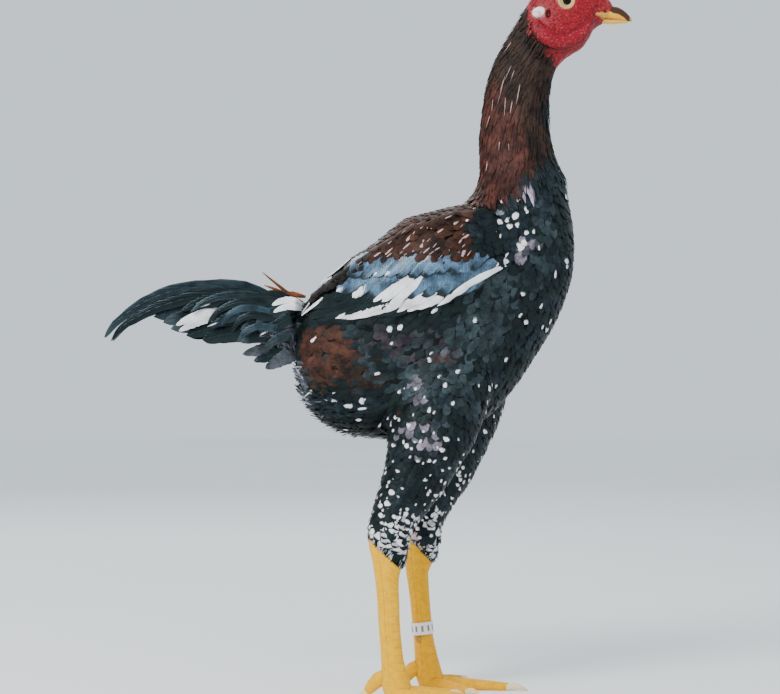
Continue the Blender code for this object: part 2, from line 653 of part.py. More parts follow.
def make_wing(name, side):
    wing = wing_core(f"wing_{name}", side)
    vanes = []
    for count, roots, tips, half_width, high, pointed in WING_TIERS:
        def place_on(x, z, u, v, lift, side, high=high, half_width=half_width):
            off = np.maximum(wing_lift(x, z) - 2.0 + (high + 2.0) * u ** 0.8, WING_LIFT + 1.2)
            return beside_body(x, z, off + 0.7 * v / half_width + lift, side)

        vanes += tier_vanes(count, roots, tips, half_width, place_on, pointed, side)
    return combine(wing, vanes, "UNION")


# Tail

def tail_feather(line, half_width, off, pointed, side):
    """An upright feather of the tail, leaning into its root near the middle plane."""
    def place(u, v, lift):
        t = u * (len(line) - 1)
        at = flow(line, t)
        ahead = flow(line, t + 0.02) - flow(line, t - 0.02)
        ahead /= np.linalg.norm(ahead, axis=-1, keepdims=True)
        spread = off * (0.5 + 0.5 * np.clip(u * 4, 0, 1)) - 0.04 * (ahead[..., 0] * v) ** 2 / half_width
        return np.stack([at[..., 0] - ahead[..., 1] * v, side * (spread + lift),
                         at[..., 1] + ahead[..., 0] * v], -1) * MM

    rings = 8 if len(line) > 6 else 5
    return vane("tail_feather", place, half_width, 0.75 if pointed else 0.25, rings)


def make_tail():
    tail = loft("tail", TAIL_ROOT, 6, 12)
    vanes = [tail_feather(*feather, side) for feather in TAIL_FEATHERS for side in SIDES.values()]
    combine(tail, vanes, "UNION")
    return combine(tail, [torso_cutter()], "DIFFERENCE")


# Legs and feet

def shank_surface(name, lift=0.0, deep=0.0):
    """The shank and the ball of its foot, with a row of plates down the front."""
    rows = SHANK_LINES[name].copy()
    rows[-1, [1, 3]] -= deep
    y = SIDES[name] * LEG_SPREAD
    ends = [(0.0, 0.0), (0.8, 0.0), (SCUTE_START - 0.1, 0.0)]
    for k in range(SCUTES):
        start = SCUTE_START + k * SCUTE_PITCH
        under_ring = name == "left" and 4.4 < start < 6.6
        ends.append((start, 0.35 if under_ring else 1.0))
        ends.append((start + 0.85 * SCUTE_PITCH, 0.1))
    ends = np.array(ends + [(9.4, 0.0), (10.2, 0.0), (len(rows) - 1.0, 0.0)])

    def plain(t, a):
        return between_lines(rows, t, a, y)

    def surface(u, w):
        k = u * (len(ends) - 1)
        t, high = (np.interp(k, np.arange(len(ends)), ends[:, i]) for i in (0, 1))
        a = w * TURN
        front = np.clip(-np.cos(a) * 1.6, 0, 1)
        return lifted(plain, t, a, high * front * SCUTE_RISE * MM + lift)

    return surface, len(ends) - 1


def shank_cutter(name, deep=0.0):
    surface, rings = shank_surface(name, GAP, deep)
    return tube("shank_cutter", surface, rings, 12)


def along_floor(path, width, crest, floor=0.0):
    """A toe along a path of x, y and half its height, flat below where it bears."""
    def surface(u, w):
        t = u * (len(path) - 1)
        place = flow(path, t)
        ahead = (flow(path, t + 0.02) - flow(path, t - 0.02))[..., :2]
        ahead /= np.linalg.norm(ahead, axis=-1, keepdims=True)
        a = w * TURN
        across = width(u) * np.sin(a)
        half = place[..., 2] + crest(u) * np.clip(np.cos(a), 0, 1)
        rise = np.maximum(place[..., 2] - 0.25 + half * np.cos(a), floor)
        return np.stack([place[..., 0] - ahead[..., 1] * across, place[..., 1] + ahead[..., 0] * across, rise], -1) * MM

    return surface


def toe_line(name, toe):
    """Where a front toe starts, the way it points, its length to the claw and the claw's length."""
    side = SIDES[name]
    turn, length, claw = TOES[name][toe]
    a = math.radians(turn * side)
    start = np.array([FOOT_X[name], side * (LEG_SPREAD + TOE_OFFSET[toe])])
    return start, np.array([math.cos(a), math.sin(a)]), length, claw


def front_toe(name, toe, grow=0.0):
    """A front toe, or with grow, in millimetres, the larger body that cuts its neighbours."""
    start, ahead, length, _ = toe_line(name, toe)
    path = np.array([(*(start + ahead * length * f), h / 2 + grow)
                     for f, h in zip((0.1, 0.4, 0.7, 1.0), TOE_HEIGHTS)])
    joints, high = [0.0], [0.0]
    for k in range(TOE_SCUTES):
        joints += [(k + 0.55) / (TOE_SCUTES + 0.6), (k + 1.4) / (TOE_SCUTES + 0.6)]
        high += [0.45, 0.05]
    joints, high = np.array(joints + [1.0]), np.array(high + [0.0])
    rings = len(joints) - 1
    plain = along_floor(path, lambda u: TOE_WIDTH[0] + (TOE_WIDTH[1] - TOE_WIDTH[0]) * u + grow,
                        lambda u: np.interp(u, joints, high), -2 * grow)
    label = "toe_cutter" if grow else f"toe_{name}_{toe}"
    return tube(label, lambda u, w: plain(np.interp(u * rings, np.arange(rings + 1), joints), w), rings, 8,
                "leg_scale")


def make_front_toes(name):
    for toe in TOES[name]:
        cutters = [shank_cutter(name, 1.0)]
        if toe != "middle":
            cutters.append(front_toe(name, "middle", GAP / MM))
        combine(front_toe(name, toe), cutters, "DIFFERENCE")
        start, ahead, length, claw = toe_line(name, toe)
        tip = start + ahead * (length + GAP / MM)
        path = np.array([(*(tip + ahead * claw * f), h)
                         for f, h in ((0.0, 2.5), (0.35, 2.3), (0.7, 1.6), (1.0, 0.45))])
        straight = along_floor(path, lambda u: 2.3 * (1 - u) ** 0.6 + 0.15, lambda u: 0.0)

        def hooked(u, w, straight=straight):
            point = straight(u, w)
            point[..., 2] += 1.1 * np.sin(math.pi * np.clip(u, 0, 1)) * MM
            return point

        tube(f"claw_{name}_{toe}", hooked, 5, 8, "claw_horn")


def make_hind_toe(name):
    """The short raised toe behind, which comes down to the floor at its claw."""
    side = SIDES[name]
    shift = FOOT_X[name] - FOOT_X["right"]

    def part(first, last):
        def surface(u, w):
            row = flow(HIND_TOE, first + (last - first) * u)
            a = w * TURN
            x, z, radius = row[..., 0], row[..., 1], row[..., 2]
            y = side * (LEG_SPREAD - HIND_SLEW * (14.0 - x)) + radius * 0.9 * np.sin(a)
            rise = np.maximum(z + radius * 0.75 * np.cos(a), 0.0)
            return np.stack([x + shift - radius * 0.7 * np.cos(a), y, rise], -1) * MM

        return surface

    toe = tube(f"toe_{name}_hind", part(0.0, 4.0), 8, 10, "leg_scale")
    combine(toe, [shank_cutter(name, 1.0)], "DIFFERENCE")
    tube(f"claw_{name}_hind", part(4.12, 6.0), 5, 8, "claw_horn")


def make_spur(name):
    """A short blunt spur on the inner rear of the shank."""
    side = SIDES[name]
    start = np.array([SHANK_LINES[name][6][0] + 6.0, side * (LEG_SPREAD - 2.0), SPUR_Z])
    way = np.array([-0.55, -side * 0.83, 0.12])
    way /= np.linalg.norm(way)
    right = np.cross(way, (0, 0, 1))
    right /= np.linalg.norm(right)
    up = np.cross(right, way)

    def surface(u, w):
        a = w * TURN
        radius = SPUR_RADIUS * np.sqrt(np.clip(1 - u ** 2.2, 0, 1)) + 0.02
        out = start + way * (u * SPUR_LENGTH)[..., None]
        return (out + right * (radius * np.cos(a))[..., None] + up * (radius * np.sin(a))[..., None]) * MM

    spur = tube(f"spur_{name}", surface, 6, 8, "claw_horn")
    return combine(spur, [shank_cutter(name)], "DIFFERENCE")


def make_leg_ring():
    """The loose flat ring on the left shank, square to it and just above the spur."""
    low, high = flow(SHANK_LINES["left"], np.array(6.0)), flow(SHANK_LINES["left"], np.array(5.0))
    foot, head = (low[:2] + low[2:4]) / 2, (high[:2] + high[2:4]) / 2
    axis = (head - foot) / np.linalg.norm(head - foot)
    centre = foot + (head - foot) * (RING_Z - foot[1]) / (head[1] - foot[1])
    corners = np.array([(RING_OUT, -0.5), (RING_OUT, 0.5), (RING_IN, 0.5), (RING_IN, -0.5)])

    def surface(u, w):
        radius, level = corners[np.rint(w * 4).astype(int) % 4].T
        level = level * RING_HEIGHT
        ahead = radius * np.cos(u * TURN)
        return np.stack([centre[0] + axis[0] * level + axis[1] * ahead, LEG_SPREAD + radius * np.sin(u * TURN),
                         centre[1] + axis[1] * level - axis[0] * ahead], -1) * MM

    return tube("leg_ring", surface, 28, 4, "ring_plastic")


def make_legs():
    for name, side in SIDES.items():
        thigh = loft(f"thigh_{name}", THIGH_LINES[name], 11, 14, y=side * LEG_SPREAD)
        combine(thigh, [torso_cutter()], "DIFFERENCE")
        surface, rings = shank_surface(name)
        tube(f"shank_{name}", surface, rings, 12, "leg_scale")
        make_front_toes(name)
        make_hind_toe(name)
        make_spur(name)
    make_leg_ring()


def shade():
    for piece in bpy.context.scene.objects:
        piece.data.shade_smooth()
        piece.data.set_sharp_from_angle(angle=math.radians(40))


clear_scene()
make_head()
make_face()
make_neck()
make_torso()
for wing_name, wing_side in SIDES.items():
    make_wing(wing_name, wing_side)
make_tail()
make_legs()
shade()
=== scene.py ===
"""The looks of a spangled Malay bantam cock: its feathers, bare skin, horn and scales.

Metres, +Z up. The bird looks along +X and its left side is +Y. Tables are in millimetres, drawn on
the side view as x and z, and repeat the solids' own forms, so that the skin lies just inside them.
"""

import math

import bmesh
import bpy
import numpy as np
from mathutils import Matrix, Vector, noise
from mathutils.bvhtree import BVHTree


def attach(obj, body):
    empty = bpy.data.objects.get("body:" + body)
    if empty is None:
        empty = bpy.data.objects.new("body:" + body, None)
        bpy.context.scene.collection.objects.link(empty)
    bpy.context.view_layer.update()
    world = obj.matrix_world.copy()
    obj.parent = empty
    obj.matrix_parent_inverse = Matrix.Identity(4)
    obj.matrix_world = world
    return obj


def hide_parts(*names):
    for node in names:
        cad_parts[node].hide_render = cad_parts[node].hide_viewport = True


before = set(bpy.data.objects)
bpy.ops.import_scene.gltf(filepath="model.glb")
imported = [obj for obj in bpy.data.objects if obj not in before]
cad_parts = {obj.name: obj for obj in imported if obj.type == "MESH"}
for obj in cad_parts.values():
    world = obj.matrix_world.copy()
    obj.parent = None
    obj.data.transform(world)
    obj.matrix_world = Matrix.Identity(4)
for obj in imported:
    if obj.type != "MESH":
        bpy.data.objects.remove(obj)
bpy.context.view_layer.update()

MM = 0.001
MERGE = 0.005 * MM
STEP = 1e-3  # how far apart the points lie from which a surface's normal is taken
TURN = 2 * math.pi
SIDES = {"right": -1, "left": 1}
MOST = 3000  # feathers in one piece
EDGED = 2.0  # in place of a tip's share: the tip's colour runs all round the feather
ISLAND = 0.003  # how wide each feather's own place on the unwrap is
draw = np.random.default_rng(7)

# The body from the front of the face to the rump. Each row is the back line's x and z, the breast
# line's x and z, half the width, and how far the width sits towards the back.
BODY_LINES = np.array([
    (171, 481.5, 163, 468.5, 6, 0), (168, 486, 160, 467, 8.5, 0.05), (162, 491, 156.5, 464, 11.5, 0.1),
    (155, 495.5, 154.8, 460, 14, 0.15), (146.5, 498.8, 153, 457, 15.5, 0.18),
    (137, 499.8, 150.5, 453.5, 16.3, 0.18), (128.5, 498.2, 147.3, 450.7, 16.3, 0.12),
    (120.8, 494, 143.8, 448.8, 15.8, 0.08), (114.8, 488.4, 140.9, 446.8, 15.3, 0.04),
    (110.6, 482.2, 137.4, 443.6, 15, 0), (97.8, 464.2, 131, 429.8, 15.5, 0),
    (86.3, 443.6, 128.5, 414.4, 16.5, 0), (80.2, 422.8, 128.5, 400.4, 17.5, 0),
    (77.4, 401.8, 129.2, 389.2, 18.5, 0), (76, 384.3, 132.7, 373.8, 20, 0), (77, 366.8, 139, 361.2, 24, 0),
    (75.3, 355.6, 141.8, 344.4, 29.5, 0), (68.3, 345.1, 144.6, 326.2, 35, 0.05),
    (59.2, 343, 145.3, 308.7, 39, 0.1), (48.7, 340.2, 143.9, 291.9, 42, 0.15),
    (36.8, 337.4, 138.3, 273.7, 44.5, 0.18), (23.5, 333.2, 129.9, 254.8, 46, 0.2),
    (10.2, 322.7, 118.7, 236.6, 46.5, 0.2), (-1.8, 313.6, 101.9, 211.4, 46.5, 0.18),
    (-13, 306.6, 79.5, 189, 45.5, 0.14), (-23.5, 297.5, 50, 178.5, 43, 0.1),
    (-32.6, 289.1, 18.6, 177.1, 39, 0.05), (-41, 278.6, -13, 182, 33, 0), (-46.6, 267.4, -33.3, 191.8, 27, 0),
    (-50.8, 251.3, -45.2, 207.2, 19, 0), (-52.5, 239, -49.5, 222, 9, 0),
])
BREADTH = 0.3  # how much flatter the back and breast are than an ellipse
# The head's skin runs from row 0 to this one. The feathered skin starts inside it and takes so many rows.
FACE_END, BODY_SKIN = 10.8, (9.6, 20.3)

# Soft forms of the head: x, z, reach along x, reach along z, height. Brow, eye pit, lore, cheek, ear.
HEAD_FORMS = np.array([
    (141, 493.5, 12.5, 3.4, 2.8), (137.5, 483.5, 7.5, 6, -1.6), (155, 480, 8, 6, -1), (137, 464, 14, 9, 1.6),
    (121, 474.5, 5, 6, -0.6),
])

EYE, EYE_RADIUS, EYE_SINK = (137.4, 483.2), 5.2, 3.4
LID_RADIUS, LID_ROUND = 4.95, 0.8
LOBE, LOBE_SIZE, LOBE_TILT = (118.4, 475.6), (4.9, 2.1, 3.6), -20.0
EAR_HOLE, NOSTRIL = (124.6, 474.4), (165.0, 476.6)

# The slit of the mouth below the lores, and the yellow gape over it.
MOUTH_LINE = [(172, 471.9), (164, 472.3), (157.5, 474)]
GAPE_LINE = [(173, 473.2), (166, 473.6), (159, 474.6)]

# The comb, a low lumpy cushion set well forward on the forehead.
COMB_CENTRE, COMB_SIZE, COMB_TILT = (155.0, 496.6), (12.0, 8.4, 6.4), 24.0

# The fold of bare skin from below the ear lobe along the jaw: x, z, half its width, half its depth.
JAW_FOLD = np.array([
    (115.6, 470.2, 2.4, 1), (117.4, 464.6, 4.4, 1.7), (120.9, 460.4, 6, 2.1), (126, 457.2, 6.6, 2.2),
    (131.8, 456, 6, 2.1), (137.6, 456.8, 5.4, 2.1), (143.4, 459, 4.8, 2), (148.8, 462.6, 3.8, 1.7),
    (152.6, 466.2, 2.4, 1.3), (154.6, 469, 1, 0.7),
])

# The bill: the upper line's x and z, the lower line's x and z, half the width.
UPPER_BILL = np.array([
    (163, 483.6, 158.5, 472.8, 4.4), (168, 482.6, 162.5, 472.5, 5.5), (171.4, 481.2, 165.8, 472.3, 5.5),
    (174.6, 480.6, 169.5, 472, 5.1), (178.6, 478.4, 174.5, 471.6, 3.9), (181.8, 475.4, 179, 471.1, 2.6),
    (183.8, 472.9, 182.5, 470.7, 1.4), (184.6, 470.9, 184.3, 470.5, 0.3),
])
LOWER_BILL = np.array([
    (157.5, 472.2, 157, 468.6, 4.4), (161.8, 471.9, 160.6, 468.7, 4.8), (165.5, 471.8, 163.6, 468.9, 4.8),
    (169.5, 471.5, 168.2, 468.5, 4.4), (174.5, 471.1, 173.6, 468.7, 3.2), (179, 470.6, 178.6, 469, 1.9),
    (182.2, 470.1, 182, 469.7, 0.4),
])

# The legs. Each row is the rear line's x and z, the front line's x and z, and half the width.
LEG_SPREAD = 28.0
THIGH_LINES = {
    "right": np.array([
        (0.6, 112, 22.5, 90, 8), (2, 118, 26, 104, 8.8), (3.5, 125, 29, 117, 10), (7.5, 138, 39, 131, 12),
        (11.5, 152, 50, 145, 14), (14.5, 165, 60, 160, 16), (15.5, 180, 70, 176, 18), (18, 200, 78, 196, 18.5),
        (22, 220, 84, 218, 16.5), (28, 238, 84, 236, 10),
    ]),
    "left": np.array([
        (25, 113, 45, 90, 8), (26.5, 119, 48.5, 104, 8.8), (28.5, 126, 50.5, 117, 10), (33, 138, 58, 131, 12),
        (38, 152, 68.5, 146, 14), (42, 165, 76.5, 161, 16), (44, 180, 84, 176, 18), (45, 200, 92, 195, 18.5),
        (48, 220, 96, 215, 16.5), (52, 238, 93, 234, 10),
    ]),
}
SHANK_LINES = {
    "right": np.array([
        (0.4, 111.7, 22.2, 89.7, 7.8), (0.6, 105, 21.2, 86, 8), (2.7, 96, 20.7, 82, 7.6),
        (4.7, 83, 20.6, 76, 6.8), (6.2, 68, 21, 66, 6.2), (6.9, 54, 21.3, 53.5, 6), (8.1, 40, 22.4, 40, 6.1),
        (8.9, 27, 24, 27, 6.8), (9, 17, 27, 17, 8.2), (9.5, 9, 30, 9, 9.5), (11.5, 2.5, 30, 2.5, 9.5),
        (13, 0, 28, 0, 8),
    ]),
    "left": np.array([
        (24.8, 112.7, 44.7, 89.7, 7.8), (24.6, 105, 43, 86, 8), (25, 96, 41.8, 82.5, 7.6),
        (26.6, 82, 42, 76, 6.8), (28.9, 66, 42.7, 64.5, 6.2), (30.4, 52, 43.8, 51.5, 6),
        (31.7, 39, 45, 39, 6.1), (32.4, 27, 47.4, 27, 6.8), (32.8, 17, 50.2, 17, 8.2), (33.5, 9, 53, 9, 9.5),
        (35.5, 2.5, 53, 2.5, 9.5), (37, 0, 51, 0, 8),
    ]),
}
FOOT_X = {"right": 20.0, "left": 43.5}

# The front toes of each foot: the way each points, outwards being positive, its length from the
# middle of the foot to the claw, and its claw's length.
TOES = {
    "right": {"inner": (-14.0, 38.0, 11.5), "middle": (17.0, 54.0, 14.0), "outer": (50.0, 37.0, 10.5)},
    "left": {"inner": (-49.0, 40.0, 12.5), "middle": (-10.0, 56.0, 14.0), "outer": (52.0, 37.0, 10.5)},
}
TOE_OFFSET = {"inner": -3.5, "middle": 0.0, "outer": 3.5}
TOE_WIDTH, TOE_HEIGHTS = (4.6, 3.1), (9.0, 8.2, 7.0, 5.4)
# A claw starts this far back in its toe, and is half so high at these shares of its length.
CLAW_ROOT, CLAW_HALVES = 1.2, ((0.0, 2.5), (0.35, 2.3), (0.7, 1.6), (1.0, 0.45))
# The raised hind toe and its claw: x, z and radius, measured on the right foot.
HIND_TOE = np.array([
    (14, 17, 4.6), (8.5, 14.6, 4.9), (4.2, 10.6, 4.5), (0.8, 6.8, 3.6), (-1.2, 4.8, 2.5), (-4.2, 3, 1.6),
    (-6.8, 0.9, 0.4),
])
HIND_SLEW = 0.25  # how far it turns inwards for each millimetre that it goes back
HIND_CLAW = (21.0, 6.0)  # how far behind the middle of the foot the claw starts, and its length
SCUTE_TOP, SCUTE_STEP, TOE_SCUTE = 112.0, 5.4, 3.6  # where the shank's scutes start, and how far apart

RING_Z, RING_HEIGHT, RING_IN, RING_OUT, RING_EDGE = 43.4, 8.8, 7.35, 7.9, 0.14
SPUR_Z, SPUR_LENGTH, SPUR_RADIUS = 35.5, 8.0, 2.5

# The folded wing: its upper edge's x and z, its lower edge's x and z, and how far it stands out.
WING_LINES = np.array([
    (88.3, 333.4, 94.7, 305.5, 1), (78.6, 337.6, 89.9, 293.9, 4.5), (63.4, 336.2, 72.9, 284.5, 6.2),
    (45.5, 332, 53.2, 276.5, 6.8), (27.5, 325.1, 30, 272.5, 6.4), (12.3, 316.1, 8.2, 269, 5.4),
    (-4.3, 305.1, -12.2, 265.5, 4.4), (-20.9, 293.3, -28.8, 263.5, 3.2), (-34.7, 283, -39, 262.5, 2.2),
    (-43.5, 272.5, -45.5, 265, 1),
])
RUMP_END = 30.0  # the row of the body where the rump is closed
WING_TIP_OFF = (-48.0, 16.0, 0.06)  # at this x the wing keeps this far from the middle plane, and more ahead

# The root of the tail: upper line, lower line, half the width.
TAIL_ROOT = np.array([
    (-34, 275, -30, 234, 8.5), (-50, 277.5, -47, 236, 9.5), (-62, 280.5, -59, 240, 8.5),
    (-73, 281.5, -70, 248, 5.5), (-80, 279, -77, 256, 1.2),
])
# The tail's feathers on each side: their middle lines, half their width, their distance from the
# middle plane, and whether they taper to a point.
TAIL_FEATHERS = [
    ([(-52, 268), (-85, 278), (-120, 281), (-152, 276)], 6.8, 1.6, False),
    ([(-52, 265), (-85, 270), (-120, 270), (-150, 264)], 7.4, 3.1, False),
    ([(-52, 260), (-80, 263), (-112, 261), (-138, 255.5)], 7.4, 4.6, False),
    ([(-52, 254), (-76, 254), (-98, 252), (-116, 248)], 7, 6.1, False),
    ([(-55, 270), (-79, 282), (-101, 284.5), (-125, 284), (-146, 279), (-163, 270.5), (-177, 259.5),
      (-184.5, 249.5)], 5.8, 4.6, True),
    ([(-55, 268), (-78, 277), (-101, 279.5), (-125, 277), (-146, 271), (-161, 264), (-173, 256),
      (-179.5, 247)], 5.2, 6.1, True),
    ([(-54, 266), (-76, 276), (-95, 278), (-115, 275), (-131, 268)], 6.2, 7.8, True),
    ([(-54, 260), (-72, 266), (-92, 267), (-111, 262)], 6.6, 9.3, True),
    ([(-54, 268), (-66, 273), (-79, 274), (-92, 270)], 7, 10.8, True),
    ([(-53, 256), (-64, 260), (-76, 260), (-89, 255)], 7, 10.8, True),
    ([(-50, 246), (-62, 244), (-74, 241), (-88, 238)], 6.4, 3, True),
    ([(-48, 242), (-56, 237), (-64, 232.5), (-72, 228)], 6.2, 5.2, True),
]

# Colours of skin and feathers, and of the painted shade in the face's pits and fold and the painted sheen on
# the dark feathers.
RED, DEEP_RED, PALE_RED = (0.33, 0.0055, 0.0135), (0.25, 0.0025, 0.0125), (0.40, 0.026, 0.026)
LOBE_PINK, EYE_RING, GAPE = (0.50, 0.16, 0.16), (0.62, 0.50, 0.20), (0.80, 0.46, 0.08)
PIT_SHADE, FOLD_SHADOW_RED = (0.012, 0.006, 0.014), (0.045, 0.001, 0.004)
GREEN_BLACK, BLUE_BLACK, STEEL = (0.0030, 0.0054, 0.0044), (0.0070, 0.0118, 0.0145), (0.049, 0.092, 0.147)
BROWN_BLACK, MAHOGANY, CHESTNUT = (0.0205, 0.0108, 0.0072), (0.050, 0.0150, 0.0108), (0.042, 0.0155, 0.0092)
PLUM, SMOKE, SHEEN = (0.028, 0.020, 0.024), (0.085, 0.080, 0.092), (0.024, 0.042, 0.056)
MAUVE = (0.19, 0.16, 0.20)
WHITE, LILAC = (0.82, 0.81, 0.83), (0.30, 0.25, 0.31)
PALE_GREY, DOWN_GREY = (0.36, 0.37, 0.43), (0.062, 0.064, 0.076)
GINGER = (0.15, 0.046, 0.014)
# The dusky grey is the colour of some feathers, and also painted sheen and rim highlights on the black ones.
PINK_WHITE, DUSKY_AND_SHEEN = (0.50, 0.34, 0.32), (0.021, 0.030, 0.034)

# Patches of other colours on the body: the middle's x and z, the reach along and across, the turn in
# degrees, the colour, the share of the feathers that have it, and 1 where they are chestnut ones.
# The blue-black patch on the breast and the dusky patches on the flank and breast are painted sheen.
PATCHES = [
    (100, 446, 42, 40, 0, BROWN_BLACK, 1, 1), (106, 396, 23, 32, 0, BROWN_BLACK, 1, 1),
    (88, 390, 25, 46, 0, MAHOGANY, 0.95, 1), (118.5, 362, 34, 17, 46, BLUE_BLACK, 1.2, 0),
    (104, 363, 3.6, 5, -35, LILAC, 0.8, 0), (36, 334, 56, 16, 16, CHESTNUT, 0.9, 1),
    (-24, 238, 25, 25, 0, CHESTNUT, 0.75, 1), (6, 226, 20, 18, 0, BROWN_BLACK, 0.5, 1),
    (26, 240, 20, 16, 0, BROWN_BLACK, 0.3, 1), (36, 205, 14, 10, 0, CHESTNUT, 0.3, 1),
    (60.7, 243.6, 13, 5.5, 28, CHESTNUT, 0.7, 1), (66, 247.5, 8, 3.5, 28, LILAC, 0.7, 0),
    (18.4, 252, 7, 5, 0, LILAC, 0.6, 0), (37, 217, 6, 15, 20, LILAC, 0.6, 0),
    (34.8, 184, 20, 14, -20, MAUVE, 0.5, 0), (112.6, 318, 7.5, 9, 0, MAUVE, 0.6, 0),
    (94, 348, 10, 6, 0, PALE_GREY, 0.35, 0), (82, 262, 18, 44, -32, DUSKY_AND_SHEEN, 0.65, 0),
    (122, 330, 10, 48, 0, DUSKY_AND_SHEEN, 0.5, 0), (40, 236, 44, 28, 0, DUSKY_AND_SHEEN, 0.5, 0),
    (30, 250, 36, 16, 0, PLUM, 0.45, 0), (58, 206, 26, 20, 0, DUSKY_AND_SHEEN, 0.4, 0),
    (-46, 208, 13, 14, 0, DOWN_GREY, 0.8, 0),
]
# Where more feathers end in a white spot: x, z, reach and the share there.
SPOTTED = [
    (98, 335, 18, 0.12), (122, 266, 20, 0.06), (30, 244, 22, 0.12), (34, 182, 22, 0.2), (6, 200, 26, 0.1),
]

# White spangles that show singly in the side view: x, z and the share of the feather that is white.
SPANGLES = np.array([
    (76.4, 333.4, 0.22), (84.3, 341.4, 0.3), (87.3, 325.6, 0.42), (90.7, 318.7, 0.34), (87.8, 309.8, 0.42),
    (85.4, 300.6, 0.22), (95, 299.8, 0.4), (95.9, 331.6, 0.3), (102.2, 335.1, 0.4), (95, 342, 0.34),
    (101, 345, 0.3), (108.4, 353.3, 0.34), (103.2, 320.8, 0.3), (101.5, 313.7, 0.34), (107.4, 311.7, 0.34),
    (129.4, 294, 0.3), (137.7, 301.4, 0.3), (106, 256.8, 0.26), (46.3, 262, 0.34), (20, 258, 0.3),
    (72, 262, 0.2), (60, 226, 0.24), (88, 214, 0.24), (98, 232, 0.22), (4, 224, 0.3), (-14, 206, 0.3),
    (12, 198, 0.28), (56, 200, 0.24), (66, 178, 0.24), (44, 166, 0.3), (30, 152, 0.3), (22, 140, 0.32),
    (38, 138, 0.3), (120, 270, 0.24), (126, 262, 0.24), (113.5, 322.5, 0.3), (110, 315.5, 0.24),
    (115.5, 313, 0.2),
])

# The tracts of small feathers: the rows of the surface where each starts and ends, its number of
# columns, the distance between feathers down a column, the distance between columns at which some
# are left out, and the share of the way at which the columns are spaced evenly.
TRACTS = {
    "body_coat": (14.2, 29.6, 70, 4.3, 3.6, 0.45),
    "hackle": (7.2, 15.7, 72, 3.9, 1.3, 0.7),
    "thigh_coat": (8.4, 0.15, 30, 3.6, 3.0, 0.55),
    "hock_fringe": (0.7, 0.08, 46, 2.4, 1.4, 0.55),
    "tail_base_coat": (0.9, 3.7, 34, 3.2, 1.8, 0.5),
    "vent_down": (26.6, 29.85, 60, 2.2, 1.6, 0.4),
}

# How far from the skin the roots of a tract may lie. The ones beyond stand over another part.
REACH = {"body_coat": 4.2, "thigh_coat": 3.4, "tail_base_coat": 4.5, "vent_down": 4.5}
SPECKLED = 0.013  # the share of the other feathers that end in a white spot

# Each longer feather's rings and columns of points.
WING_GRID, TAIL_GRID = (16, 5), (20, 5)
# Where the small feathers on the bow of the wing grow: first, last and count along it and across it.
BOW_ALONG, BOW_ACROSS = (0.35, 7.8, 32), (0.03, 0.55, 9)

# The rows of the wing, from the points of the flights to the smaller coverts: how many feathers, the
# lines of their roots and of their tips, half their width, how high they lie, how pointed they are,
# and their colour.
WING_TIERS = {
    "flights": (7, [(36, 276), (22, 278), (8, 280), (-6, 283)], [(-22, 261), (-38, 261.5), (-46.5, 265),
      (-45.5, 272), (-37, 279.5)], 5.2, 0.5, 0.6, GREEN_BLACK),
    "secondaries": (8, [(66, 286), (46, 290), (26, 292), (8, 295)], [(16, 265), (-4, 263.5), (-20, 266),
      (-26, 276)], 5.6, 1, 0.35, GREEN_BLACK),
    "large_coverts": (11, [(90, 303), (74, 300), (54, 299), (34, 300), (14, 302), (0, 302)], [(66, 282),
      (50, 279), (28, 277), (8, 276), (-12, 277), (-25, 283)], 5.6, 1.7, 0.15, STEEL),
    "middle_coverts": (12, [(90, 314), (74, 312), (54, 311), (34, 311), (14, 310), (2, 307)], [(72, 297),
      (56, 293), (34, 291), (14, 290), (-4, 290), (-17, 291)], 5.2, 2.4, 0.1, STEEL),
}
# The white spots on the blue coverts: x, z and the share of the feather.
WING_SPOTS = [
    (-4.7, 300.8, 0.12), (-18.4, 287.9, 0.16), (-9.5, 279.7, 0.26), (8.2, 292.6, 0.12), (15.7, 291.2, 0.14),
    (17.7, 304.9, 0.1), (-22, 283, 0.12), (60, 290, 0.05),
]
# The white feathers low on the wing: root, tip, half the width, how high it lies and how far it bows.
WHITE_FEATHERS = [
    (34.5, 297, 10, 274, 3.9, 2.8, 0.4), (37, 292, 13, 269, 3.6, 3, 0.4), (41, 284.5, 20, 267, 3.3, 2.8, 0.3),
    (46.5, 281, 27, 267.5, 3.1, 2.5, 0.3), (51, 278, 34, 269.5, 2.6, 2.9, 0.2),
    (38, 280, -14, 262.6, 4, 1.8, 0.8), (30, 277, -22, 263.3, 3.2, 1.5, 0.8),
    (93.5, 299, 47, 271, 2.7, 2.6, -2.6), (24, 290, 4, 274, 2.8, 2.6, 0.3), (-12, 304, -36, 284, 0.7, 2.6, 0.8),
    (-30, 290, -46, 264.5, 0.9, 2, 0.8), (-31, 277, -45.5, 264.5, 1.4, 1.8, 0.2),
]
